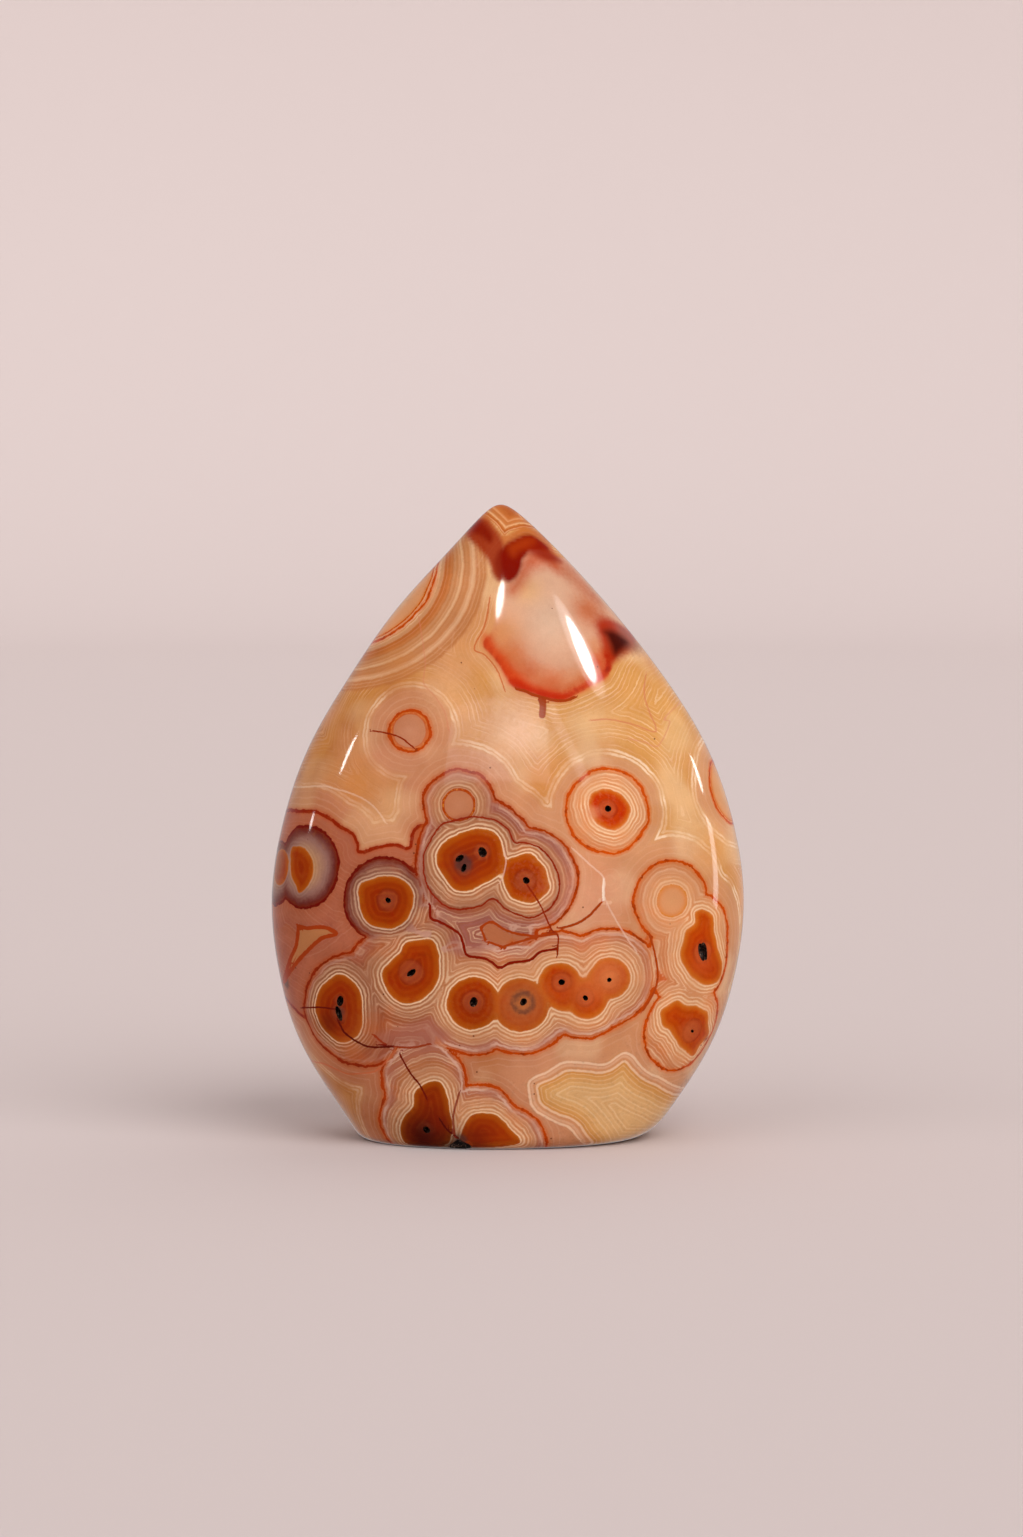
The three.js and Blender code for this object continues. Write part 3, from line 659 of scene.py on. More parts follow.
def patternFields(points):
    fields, flat = {}, laidFlat(points)
    cores, rims = [], []
    for eye in eyes.values():
        side = eye.get("side", -1)
        if "outline" in eye:
            cores.append(gapToOutline(points, flat, eye["outline"]))
        else:
            cores.append(gapToBalls(points, eye["core"], side))
        rims.append(gapToBalls(points, eye["rim"], side))
    cores, rims = np.array(cores), np.array(rims)
    fields["coreGap"], fields["rimGap"] = cores.min(0), rims.min(0)
    for name, outline in (("belt", belt), ("window", window), ("ground", ground), ("dark", darkLoop)):
        fields[name + "Gap"] = gapToOutline(points, flat, outline)
    nearer = (rims + np.array(eyeValues("near"))[:, None]).min(0)
    met = np.minimum(gapToBalls(points, meetings), gapToBalls(points, backMeetings, 1)) + bands["atMeeting"]
    outside = np.min([nearer, fields["beltGap"], met, fields["windowGap"] + bands["atWindow"]], axis=0)
    # the ground has bands of its own, so the others keep clear of it
    toGround = fields["groundGap"]
    letGo = np.maximum(toGround - bands["groundReach"], 0) * bands["groundLetsGo"]
    beside = np.maximum(bands["atGround"] - toGround, bands["besideGround"]) + letGo
    fields["bandGap"] = np.minimum(outside, np.where(toGround < 0, bands["atGround"], beside))
    # each eye's own values fade into its neighbour's over a millimetre or so
    for gaps, fade, names in ((rims, "rimFade", ("light", "mauve", "shadow", "smoke")),
                              (cores, "coreFade", ("coreLight", "hollow", "ring", "red"))):
        share = np.exp(-np.minimum(gaps - gaps.min(0), 20) / bands[fade])
        for name in names:
            fields[name] = (np.array(eyeValues(name))[:, None] * share).sum(0) / share.sum(0)
    for name, balls in clouds.items():
        fields[name + "Gap"] = gapToBalls(points, balls, reach=1.2)
    fromPit = np.linalg.norm(points - onFace([sootRing["centre"]]), axis=1)
    fields["sootGap"] = np.minimum(fields["sootGap"], abs(fromPit - sootRing["radius"]) - sootRing["halfWidth"])
    behind = smoothStep(points[:, 1], capBack["from"], capBack["to"])
    aboveLevel = capBack["level"] - points[:, 2]
    fields["capGap"] = (1 - behind) * gapToOutline(points, flat, tipChevron) + behind * aboveLevel
    high = points[:, 2] > redFrom
    fields["redGap"] = np.full(len(points), farOff)
    fields["redGap"][high] = nearestOnPath(flat[high], curveThrough(redEdge, False))[0]
    discs = onFace([pit[:2] for pit in pits["places"]])
    fields["discGap"] = np.min([np.linalg.norm(points - place, axis=1) - pit[5]
                                for place, pit in zip(discs, pits["places"])], axis=0)
    fromCentre = np.linalg.norm(points - onFace([shoulder["centre"]]), axis=1)
    fields["arcGap"] = (fromCentre - shoulder["from"]) / shoulder["width"]
    # painted side light: paler to the right and towards the top, partly the stone's own tone and partly painted
    # light
    slanted = points[:, 0] + paleSideAndPaintedLight["lean"] * (points[:, 2] - paleSideAndPaintedLight["middle"])
    fields["paleSideAndLight"] = smoothStep(slanted, paleSideAndPaintedLight["from"], paleSideAndPaintedLight["to"])
    fields.update(lineFields(flat))
    return fields


def washFields(points, flat):
    # lays the patches over one another: each covers what is below it by its own share
    colour, cover = np.zeros((len(points), 3)), np.zeros(len(points))
    places = onFace([wash[:2] for wash in washes])
    shares = [strength * np.exp(-((points - place) ** 2).sum(1) / reach**2)
              for place, (x, z, reach, shade, strength) in zip(places, washes)]
    shares += [strength * smoothStep(gapToOutline(points, flat, outline), blur, -blur)
               for outline, shade, strength, blur in fillings]
    shades = [wash[3] for wash in washes] + [filling[1] for filling in fillings]
    for share, shade in zip(shares, shades):
        below = cover * (1 - share)
        cover = below + share
        mixed = below[:, None] * colour + share[:, None] * np.array(tint(*shade)[:3])
        colour = mixed / np.maximum(cover, 1e-6)[:, None]
    return colour, cover


def lineFields(flat, reach=1.0):
    # the signed distance to the nearest line, with its nearness, tone, half width and strength
    best, signed = np.full((2, len(flat)), farOff)
    tone, wide, strong = np.zeros((3, len(flat)))
    for lineTone, lineWide, strength, through in lines:
        path = curveThrough(through, False)
        low, high = path.min(0) - reach, path.max(0) + reach
        near = np.flatnonzero(((flat > low) & (flat < high)).all(1))
        distance, stretch = nearestOnPath(flat[near], path)
        run, away = np.diff(path, axis=0)[stretch], flat[near] - path[stretch]
        sign = np.sign(run[:, 0] * away[:, 1] - run[:, 1] * away[:, 0])
        closer = distance < best[near]
        kept = near[closer]
        best[kept], signed[kept] = distance[closer], (distance * sign)[closer]
        tone[kept], wide[kept], strong[kept] = lineTone, lineWide, strength
    nearness = np.clip(1 - best / reach, 0, 1)
    return dict(lineGap=signed, lineNear=nearness, lineTone=tone, lineWide=wide, lineStrong=strong)


def tint(red, green, blue):
    # a screen colour as the linear colour that the shaders work in
    shares = [value / 255 for value in (red, green, blue)]
    return [share / 12.92 if share <= 0.04045 else ((share + 0.055) / 1.055) ** 2.4 for share in shares] + [1]


def addNode(tree, kind, values=None, **settings):
    node = tree.nodes.new(kind)
    for name, setting in settings.items():
        setattr(node, name, setting)
    for socket, value in (values or {}).items():
        if isinstance(value, bpy.types.NodeSocket):
            tree.links.new(value, node.inputs[socket])
        else:
            node.inputs[socket].default_value = value
    return node


class Painter:
    # short names for the nodes that a material is put together from; each call gives back a socket
    def __init__(self, tree):
        self.tree = tree

    def sum(self, operation, *values):
        return addNode(self.tree, "ShaderNodeMath", dict(enumerate(values)), operation=operation).outputs[0]

    def times(self, value, *shares):
        for share in shares:
            value = self.sum("MULTIPLY", value, share)
        return value

    def spread(self, value, low, high, start=0, end=1, shape="LINEAR"):
        values = {0: value, 1: low, 2: high, 3: start, 4: end}
        return addNode(self.tree, "ShaderNodeMapRange", values, interpolation_type=shape).outputs[0]

    def step(self, value, low, high, start=0, end=1):
        return self.spread(value, low, high, start, end, "SMOOTHSTEP")

    def bandNoise(self, along, scale, detail=2):
        values = {"W": along, "Scale": scale, "Detail": detail}
        return addNode(self.tree, "ShaderNodeTexNoise", values, noise_dimensions="1D").outputs[0]

    def mix(self, share, under, over, blend="MIX"):
        values = {0: share, 6: under, 7: over}
        return addNode(self.tree, "ShaderNodeMix", values, data_type="RGBA", blend_type=blend).outputs[2]

    def shade(self, given):
        # a socket as it is, a screen colour, or a run of colours along a value
        if isinstance(given, bpy.types.NodeSocket):
            return given
        return self.ramp(*given) if isinstance(given[1], list) else tint(*given)

    def between(self, tone, first, second):
        return self.mix(tone, self.shade(first), self.shade(second))

    def lay(self, colour, *layers, tone=None):
        # lays colours over a colour: each by its share, and where it has two, the tone goes between them
        for share, *shades in layers:
            over = self.between(tone, *shades) if len(shades) == 2 else self.shade(*shades)
            colour = self.mix(share, colour, over)
        return colour

    def ramp(self, value, stops):
        node = addNode(self.tree, "ShaderNodeValToRGB", {0: value})
        elements = node.color_ramp.elements
        elements.remove(elements[1])
        for number, (place, colour) in enumerate(stops):
            element = elements[0] if number == 0 else elements.new(place)
            element.position, element.color = place, tint(*colour)
        return node.outputs[0]

    def group(self, group, **values):
        return addNode(self.tree, "ShaderNodeGroup", values, node_tree=group).outputs[0]


def newGroup(name, inputs, output):
    group = bpy.data.node_groups.new(name, "ShaderNodeTree")
    for label, value in inputs.items():
        socket = group.interface.new_socket(label, in_out="INPUT", socket_type="NodeSocketFloat")
        socket.default_value = value
    group.interface.new_socket(output, in_out="OUTPUT", socket_type="NodeSocketFloat")
    return group, group.nodes.new("NodeGroupInput").outputs, group.nodes.new("NodeGroupOutput").inputs[0]


def lineGroup():
    # a mask that is 1 where Gap is within HalfWidth of Place and fades over Blur
    group, given, result = newGroup("lineMask", {"Gap": 0, "Place": 0, "HalfWidth": 0.1, "Blur": 0.1}, "Mask")
    paint = Painter(group)
    off = paint.sum("ABSOLUTE", paint.sum("SUBTRACT", given["Gap"], given["Place"]))
    beyond = paint.sum("DIVIDE", paint.sum("SUBTRACT", off, given["HalfWidth"]), given["Blur"])
    group.links.new(paint.step(beyond, 0, 1, 1, 0), result)
    return group


def bandGroup():
    # fine growth lines, from -1 to 1: a wave along Gap, with uneven strength from line to line
    group, given, result = newGroup("fineBands", {"Gap": 0, "Spacing": 0.4, "Uneven": 1.0}, "Value")
    paint = Painter(group)
    turns = paint.sum("DIVIDE", given["Gap"], given["Spacing"])
    wave = paint.sum("SINE", paint.times(turns, 2 * math.pi))
    strength = paint.bandNoise(turns, 0.37, 1)
    uneven = paint.sum("SUBTRACT", paint.bandNoise(turns, 0.6, 3), 0.5)
    both = paint.sum("MULTIPLY_ADD", wave, strength, paint.times(uneven, paint.times(given["Uneven"], 2.4)))
    group.links.new(both, result)
    return group


colours = {
    # place, colour: cores from the middle to the edge
    "coreDark": [(0, (120, 36, 8)), (0.4, (128, 34, 1)), (0.75, (140, 48, 1)), (0.92, (158, 72, 6)),
                 (1, (176, 94, 22))],
    "coreLight": [(0, (176, 58, 10)), (0.4, (190, 60, 2)), (0.75, (196, 76, 4)), (0.92, (204, 98, 18)),
                  (1, (212, 124, 56))],
    "hollowDark": [(0, (184, 124, 100)), (0.5, (168, 96, 76)), (1, (160, 84, 58))],
    "hollowLight": [(0, (222, 168, 116)), (0.5, (216, 154, 102)), (1, (214, 148, 98))],
    # rings outside the core, over 4 mm
    "ringDark": [(0, (164, 100, 56)), (0.08, (150, 92, 62)), (0.2, (142, 86, 62)), (0.4, (134, 78, 58)),
                 (0.7, (128, 66, 48)), (1, (130, 58, 38))],
    "ringLight": [(0, (222, 152, 92)), (0.06, (220, 152, 98)), (0.2, (222, 158, 108)), (0.5, (212, 142, 94)),
                  (1, (202, 128, 82))],
    # the zone inside the rim, from terracotta to lavender
    "zoneDark": [(0.3, (150, 74, 48)), (0.6, (136, 64, 50)), (1, (128, 72, 70))],
    "zoneLight": [(0.3, (200, 126, 86)), (0.6, (190, 124, 98)), (1, (176, 120, 112))],
    "rimDark": (124, 24, 3),
    "rimLight": (196, 74, 10),
    # outside the rims, over 6 mm
    "outsideDark": [(0, (170, 92, 56)), (0.1, (180, 110, 74)), (0.5, (186, 120, 84)), (0.6, (194, 132, 86)),
                    (0.72, (192, 126, 68)), (1, (190, 124, 62))],
    "outsideLight": [(0, (204, 130, 82)), (0.1, (202, 140, 96)), (0.5, (204, 146, 102)), (0.6, (210, 154, 102)),
                     (0.72, (206, 146, 80)), (1, (208, 148, 80))],
    "belt": [(0, (166, 90, 60)), (0.5, (172, 98, 70)), (1, (164, 90, 66))],
    "window": [(0, (180, 64, 26)), (0.1, (194, 98, 54)), (0.25, (202, 132, 92)), (0.5, (206, 154, 122)),
               (1, (206, 160, 130))],
    "shoulder": [(0, (186, 98, 42)), (0.06, (196, 130, 82)), (0.2, (200, 146, 102)), (0.25, (184, 96, 40)),
                 (0.36, (190, 108, 50)), (0.41, (190, 128, 80)), (0.52, (196, 136, 90)),
                 (0.555, (222, 178, 134)), (0.6, (192, 130, 84)), (0.7, (196, 132, 84)),
                 (0.75, (224, 178, 136)), (0.81, (196, 130, 82)), (0.93, (188, 118, 66)), (1, (178, 100, 50))],
    "blush": [(0, (138, 14, 3)), (0.3, (178, 30, 5)), (0.65, (204, 72, 16)), (1, (216, 124, 66))],
    "cap": [(0, (170, 88, 38)), (0.3, (184, 104, 50)), (0.42, (206, 142, 92)), (0.5, (186, 108, 54)),
            (0.62, (190, 116, 64)), (0.71, (220, 166, 116)), (0.78, (190, 112, 56)), (0.87, (178, 88, 34)),
            (0.93, (212, 152, 102)), (1, (182, 96, 42))],
    # the ground at the lower right, from its outline inwards over 5 mm
    "ground": [(0, (206, 144, 104)), (0.2, (208, 144, 98)), (0.27, (208, 140, 72)), (0.42, (214, 154, 86)),
               (0.7, (222, 172, 112)), (1, (222, 176, 120))],
    "stain": [(0, (176, 80, 28)), (0.3, (146, 44, 10)), (0.6, (120, 24, 5)), (1, (74, 10, 3))],
    "lines": [(0, (56, 12, 5)), (0.35, (126, 22, 4)), (0.7, (194, 82, 24)), (1, (244, 222, 200))],
    "dark": (138, 36, 14),
    "soot": (64, 46, 44),
    "smoke": [(0, (196, 142, 88)), (0.3, (172, 128, 98)), (0.6, (144, 104, 94)), (0.85, (112, 58, 52)),
              (1, (98, 22, 14))],
    "speck": (92, 34, 18),
}


# Growth lines in each part of the pattern: how far apart, and how uneven they are
growthLines = {
    "core": (0.9, 0.8),
    "ring": (0.52, 0.8),
    "wideRing": (1.7, 1.0),
    "outside": (0.6, 0.8),
    "faint": (0.9, 0.6),
    "shoulder": (0.62, 0.9),
    "ground": (0.66, 0.6),
    "belt": (0.6, 0.7),
}


def placeInStone(tree):
    # the place in the stone in millimetres, for noises and crystals
    own = addNode(tree, "ShaderNodeTexCoord").outputs["Object"]
    return addNode(tree, "ShaderNodeVectorMath", {0: own, "Scale": 1 / mm}, operation="SCALE").outputs[0]


class StonePainter(Painter):
    # the stone's colour, laid on part by part over the distances that the mesh holds
    def __init__(self, tree):
        super().__init__(tree)
        self.lineMask, self.fineBands = lineGroup(), bandGroup()
        self.place = placeInStone(tree)
        self.slow, self.quick = self.centred(0.3), self.centred(1.6, 3, 0.6)
        self.wobble = self.sum("MULTIPLY_ADD", self.slow, 0.9, self.times(self.quick, 0.34))
        self.jagged = self.times(self.centred(1.5, 2, 0.6), 0.3)
        self.patchy = self.noise(0.16, 3, 0.55)
        self.core = self.waving("coreGap", 0.7)
        self.band = self.sum("ADD", self.field("bandGap"), self.wobble)
        self.rim = self.rough("rimGap")
        self.light, self.mauve = self.field("light"), self.field("mauve")
        self.coreLight, self.hollow = self.field("coreLight"), self.field("hollow")
        self.shadow = self.field("shadow")
        # painted side light, partly the stone's own tone, made uneven by slow noise
        self.paleSideAndLight = self.sum("ADD", self.field("paleSideAndLight"), self.times(self.slow, 0.5))

    def field(self, name):
        return addNode(self.tree, "ShaderNodeAttribute", attribute_name=name).outputs["Fac"]

    def noise(self, scale, detail=2, roughness=0.5):
        values = {"Vector": self.place, "Scale": scale, "Detail": detail, "Roughness": roughness}
        return addNode(self.tree, "ShaderNodeTexNoise", values).outputs[0]

    def centred(self, *noise):
        return self.sum("SUBTRACT", self.noise(*noise), 0.5)

    def patches(self, noise, low, high, start=0, end=1):
        return self.step(self.noise(*noise), low, high, start, end)

    def waving(self, name, share):
        return self.sum("MULTIPLY_ADD", self.wobble, share, self.field(name))

    def rough(self, name):
        return self.sum("ADD", self.sum("ADD", self.field(name), self.wobble), self.jagged)

    def line(self, gap, halfWidth, blur, place=0):
        return self.group(self.lineMask, Gap=gap, Place=place, HalfWidth=halfWidth, Blur=blur)

    def growth(self, gap, name):
        spacing, uneven = growthLines[name]
        return self.group(self.fineBands, Gap=gap, Spacing=spacing, Uneven=uneven)

    def run(self, tone, along, name):
        # the dark and the light run of colours of one name, and between them by tone
        return self.between(tone, (along, colours[name + "Dark"]), (along, colours[name + "Light"]))

    def coreColour(self):
        core, own = self.core, self.coreLight
        inward = self.spread(core, -4, 0)
        mottled = self.patches((0.5, 3, 0.6), 0.5, 0.75, 0, 0.4)
        disc = self.waving("discGap", 0.7)
        growth = self.growth(core, "core")
        paleEdge = self.times(self.step(core, -0.9, 0), self.step(own, 0.6, 0.9, 0, 0.6))
        return self.lay(
            self.run(own, inward, "core"),
            (self.sum("ADD", mottled, self.times(self.field("red"), 0.7)), (134, 22, 2), (194, 38, 2)),
            (self.step(disc, -0.6, 0.3, 0.7, 0), (138, 62, 34), (192, 88, 44)),
            (self.times(self.line(disc, 0.06, 0.2), 0.22), (104, 26, 6)),
            (self.step(growth, 0, 1, 0, 0.16), (214, 116, 30)),
            (self.step(growth, 0, -1, 0, 0.2), (110, 22, 2)),
            (self.hollow, self.run(own, inward, "hollow")),
            (paleEdge, (212, 120, 36)),
            tone=own,
        )

    def ringColour(self):
        # between the core and the rim
        core, rim, light, mauve = self.core, self.rim, self.light, self.mauve
        width = self.sum("MAXIMUM", self.sum("SUBTRACT", core, rim), 0.3)
        zone = self.times(self.step(self.sum("DIVIDE", core, width), 0.45, 0.75), self.step(mauve, 0, 0.4))
        stretched = self.sum("MULTIPLY_ADD", self.slow, 0.5, core)
        fine, wide = self.growth(stretched, "ring"), self.growth(stretched, "wideRing")
        showing = self.times(self.patches((0.28,), 0.35, 0.62, 0.3), self.step(self.hollow, 0, 1, 1, 0.45))
        solid = self.step(self.hollow, 0, 1, 1, 0.4)
        palest = []
        for place, strength in ((0.14, 0.85), (0.62, 0.4), (1.3, 0.2)):
            strength = self.times(self.step(light, 0.7, 1, strength, strength * 0.4), solid)
            mask = self.times(self.line(core, 0.04, 0.13, place), strength)
            palest.append((mask, (230, 192, 156), (242, 208, 168)))
        inner = self.times(self.line(core, 0.03, 0.14, 0.37), self.step(light, 0.2, 0.9, 0.6, 0.2))
        last = self.times(self.line(rim, 0.05, 0.25, -0.75), self.step(mauve, 0.2, 0.6), showing)
        return self.lay(
            self.run(light, self.sum("DIVIDE", core, 4), "ring"),
            (zone, self.run(light, mauve, "zone")),
            (self.step(self.patchy, 0.52, 0.68, 0, 0.4), (170, 74, 24), (212, 122, 62)),
            (self.times(self.step(fine, 0.1, 0.8, 0, 0.72), showing), (196, 146, 112), (243, 210, 170)),
            (self.times(self.step(fine, -0.1, -0.8, 0, 0.62), showing), (100, 46, 28), (198, 116, 62)),
            (self.step(wide, 0.1, 1.0, 0, 0.3), (182, 128, 98), (240, 204, 164)),
            *palest,
            (inner, (100, 46, 28), (198, 116, 62)),
            (last, (180, 126, 106), (222, 180, 156)),
            (self.field("smoke"), (self.spread(rim, -5, 0), colours["smoke"])),
            (self.times(self.shadow, self.step(rim, -1.8, 0, 0, 0.9)), (98, 24, 16)),
            tone=light,
        )

    def eyeColour(self):
        soft = self.step(self.coreLight, 0.6, 0.9, 0.06, 0.28)
        halfWidth = self.field("ring")
        edge = self.times(self.line(self.core, halfWidth, 0.14), self.step(halfWidth, 0, 0.1))
        dotted = self.times(self.line(self.core, 0.05, 0.12), self.patches((2.2,), 0.48, 0.58, 0, 0.8))
        return self.lay(
            self.coreColour(),
            (self.step(self.core, self.times(soft, -1), soft), self.ringColour()),
            (edge, (140, 38, 6), (194, 82, 8)),
            (self.times(dotted, self.hollow), (206, 124, 40)),
            tone=self.light,
        )

    def outsideColour(self):
        # the outside colours go from their dark run on the left to their light run on the right: partly painted
        # light and shade, partly the stone's own tone
        band, paleSideAndLight = self.band, self.paleSideAndLight
        calm = self.times(self.step(band, 4.2, 4.6), self.patches((0.2,), 0.38, 0.62, 0.25))
        grain = self.growth(band, "outside")
        threads = self.line(self.bandNoise(band, 0.8), 0.012, 0.02, 0.5)
        fading = self.patches((0.3,), 0.38, 0.6, 0.3, 0.9)
        creamLines = [(self.times(self.line(band, 0.07, 0.18, place), fading), (214, 170, 132), (242, 212, 178))
                      for place in bands["creamLines"]]
        return self.lay(
            self.run(paleSideAndLight, self.sum("DIVIDE", band, 6), "outside"),
            (self.times(calm, self.step(grain, 0.1, 0.7, 0, 0.5)), (210, 160, 116), (242, 208, 170)),
            (self.times(calm, self.step(grain, -0.2, -0.9, 0, 0.12)), (150, 84, 34), (208, 142, 74)),
            (self.times(threads, calm, 0.35), (146, 72, 20), (196, 116, 44)),
            *creamLines,
            (self.step(self.patchy, 0.3, 0.45, 0.3, 0), (176, 92, 30), (222, 150, 82)),
            (self.patches((0.07,), 0.45, 0.65, 0, 0.4), (196, 132, 98), (226, 166, 126)),
            (self.patches((0.1, 1), 0.5, 0.35, 0, 0.4), (206, 158, 112), (238, 204, 162)),
            tone=paleSideAndLight,
        )

    def shoulderOver(self, colour):
        arc = self.waving("arcGap", 0.06)
        lines = self.growth(self.times(arc, shoulder["width"]), "shoulder")
        arcColour = self.lay(
            self.ramp(arc, colours["shoulder"]),
            (self.step(lines, 0.1, 0.9, 0, 0.34), (226, 180, 136)),
            (self.step(lines, -0.1, -0.9, 0, 0.4), (174, 96, 44)),
            (0.16, (150, 78, 34)),
        )
        onShoulder = self.times(self.step(arc, 0.92, 1.0, 0.9, 0), self.step(self.band, 4.0, 4.3))
        faint = self.step(self.growth(self.band, "faint"), 0.3, 0.9, 0, 0.14)
        return self.lay(colour, (onShoulder, arcColour), (faint, (236, 200, 168)))

    def groundOver(self, colour):
        # the ground's bands lie nested inside its outline, with cream lines along the outline
        within = self.waving("groundGap", 0.6)
        nested, deep = self.growth(within, "ground"), self.step(within, -1.2, -1.8)
        groundColour = self.lay(
            self.ramp(self.spread(within, 0, -5), colours["ground"]),
            (self.times(deep, self.step(nested, 0.1, 0.8, 0, 0.5)), (240, 208, 164)),
            (self.times(deep, self.step(nested, -0.3, -0.9, 0, 0.3)), (202, 128, 58)),
        )
        creamLines = [(self.times(self.line(within, 0.08, 0.2, place), strength), (240, 206, 172))
                      for place, strength in ((0, 0.7), (-0.5, 0.3), (-1.25, 0.7))]
        return self.lay(colour, (self.step(within, 0.1, -0.1), groundColour), *creamLines)

    def beltOver(self, colour):
        gap = self.rough("beltGap")
        turns = self.sum("FRACT", self.times(self.rim, 0.3))
        pale = self.step(self.growth(gap, "belt"), 0.2, 0.7, 0, 0.3)
        return self.lay(
            colour,
            (self.step(gap, 0.05, -0.05), self.lay(self.ramp(turns, colours["belt"]), (pale, (190, 128, 98)))),
            (self.step(self.sum("ABSOLUTE", gap), 0.1, 0.8, 0.7, 0), (180, 74, 28)),
            (self.line(gap, 0.2, 0.16), (140, 34, 4)),
        )

    def windowOver(self, colour):
        # the cloudy window under the tip, red along its lower edge, and the banded cap
        glass, cap = self.waving("windowGap", 0.8), self.waving("capGap", 0.6)
        swaying = self.sum("MULTIPLY_ADD", self.slow, 2.2, self.field("redGap"))
        red = self.sum("MULTIPLY_ADD", self.centred(0.9, 4, 0.7), 1.8, swaying)
        torn = self.times(self.step(red, 1.0, 0.1, 0, 0.9), self.patches((0.35, 3, 0.6), 0.36, 0.52, 0.45))
        return self.lay(
            colour,
            (self.step(glass, -0.3, 0.3, 1, 0), (self.spread(red, 0, farOff), colours["window"])),
            (self.times(torn, self.step(glass, 0.4, 0)), (self.spread(red, 0, 1.3), colours["blush"])),
            (self.step(cap, 0.1, -0.1), (self.spread(cap, -3, 0), colours["cap"])),
        )

    def washesOver(self, colour):
        shade = addNode(self.tree, "ShaderNodeAttribute", attribute_name="washColour").outputs["Color"]
        cover = self.field("washCover")
        mottled = self.times(self.step(cover, 1, 0.6), 0.5)
        return self.mix(self.sum("MULTIPLY_ADD", self.quick, mottled, cover), colour, shade)

    def rimsOver(self, colour):
        # the dark loops inside the rims, and the rims themselves
        rim = self.rim
        dark = self.sum("ADD", self.field("darkGap"), self.wobble)
        inRim = self.step(rim, -0.3, -0.1, 1, 0)
        glow = self.step(self.sum("ABSOLUTE", rim), 0.1, 0.75, 0.65, 0)
        rimLine = self.line(rim, self.patches((0.9,), 0.35, 0.65, 0.08, 0.2), 0.12)
        rimColour = self.lay(
            self.between(self.light, colours["rimDark"], colours["rimLight"]),
            (self.shadow, (106, 14, 4)),
            (self.patches((0.8,), 0.5, 0.7, 0, 0.6), (118, 34, 4)),
        )
        return self.lay(
            colour,
            (self.times(self.step(dark, -0.9, 0, 0, 0.3), self.step(dark, 0.05, -0.05), inRim), (96, 36, 26)),
            (self.times(self.step(dark, 0, 0.9, 0.4, 0), self.step(dark, -0.1, 0.1), inRim), (140, 48, 30)),
            (self.times(self.line(dark, 0.07, 0.12), inRim), colours["dark"]),
            (self.times(glow, self.step(self.shadow, 0, 1, 1, 0.25)), (160, 56, 14), (214, 112, 40)),
            (rimLine, rimColour),
            tone=self.light,
        )

    def marksOver(self, colour):
        # stains, soot, cracks and specks over everything
        stain = self.sum("MULTIPLY_ADD", self.slow, 1.4, self.field("stainGap"))
        stain = self.sum("MULTIPLY_ADD", self.quick, 0.8, stain)
        soot = self.sum("MULTIPLY_ADD", self.quick, 0.9, self.field("sootGap"))
        gap = self.sum("MULTIPLY_ADD", self.quick, 0.25, self.field("lineGap"))
        near = self.step(self.field("lineNear"), 0.4, 0.6)
        drawn = self.times(self.line(gap, self.field("lineWide"), 0.1), near, self.field("lineStrong"))
        dots = addNode(self.tree, "ShaderNodeTexVoronoi", {"Vector": self.place, "Scale": 0.45})
        lot = addNode(self.tree, "ShaderNodeSeparateColor", {0: dots.outputs["Color"]}).outputs[0]
        speck = self.times(self.step(dots.outputs["Distance"], 0.05, 0.075, 0.8, 0), self.step(lot, 0.7, 0.72))
        return self.lay(
            colour,
            (self.step(stain, 0.5, -0.1, 0, 0.95), (self.spread(stain, 0.5, -1.6), colours["stain"])),
            (self.step(soot, 0.35, -0.5, 0, 0.65), colours["soot"]),
            (drawn, (self.field("lineTone"), colours["lines"])),
            (speck, colours["speck"]),
        )

    def milky(self, colour):
        # slow changes of brightness, and very fine grain
        cloud = self.spread(self.patchy, 0.3, 0.7, 0.9, 1.06)
        shade = self.times(cloud, self.spread(self.noise(5.0), 0.3, 0.7, 0.97, 1.03))
        grey = addNode(self.tree, "ShaderNodeCombineColor", {0: shade, 1: shade, 2: shade}).outputs[0]
        return self.mix(1.0, colour, grey, "MULTIPLY")


def newMaterial(name, finish):
    material = bpy.data.materials.new(name)
    material.use_nodes = True
    shader = material.node_tree.nodes["Principled BSDF"]
    for socket, value in finish.items():
        shader.inputs[socket].default_value = value
    return material, material.node_tree, shader


polish = {
    "Roughness": 0.06,
    "IOR": 1.54,
    "Specular IOR Level": 0.4,
    "Subsurface Weight": 0.06,
    "Subsurface Radius": (1.0, 0.45, 0.25),
    "Subsurface Scale": 0.6 * mm,
}


def stoneMaterial():
    material, tree, shader = newMaterial("polishedCarnelian", polish)
    paint = StonePainter(tree)
    outside = paint.beltOver(paint.groundOver(paint.shoulderOver(paint.outsideColour())))
    colour = paint.mix(paint.step(paint.rim, -0.05, 0.05), paint.eyeColour(), outside)
    for layer in (paint.windowOver, paint.washesOver, paint.rimsOver, paint.marksOver, paint.milky):
        colour = layer(colour)
    tree.links.new(colour, shader.inputs["Base Color"])
    return material


pitShadeAndCrystals = {
    "scale": 5,
    # near black for the painted shade in the pits, pale for crystals that partly stand in for glints
    "colours": [(0, (14, 5, 4)), (0.7, (38, 20, 16)), (0.9, (92, 66, 54)), (1, (150, 122, 104))],
    "relief": {"Strength": 0.8, "Distance": 0.1 * mm},
    "finish": {"Roughness": 0.3},
}


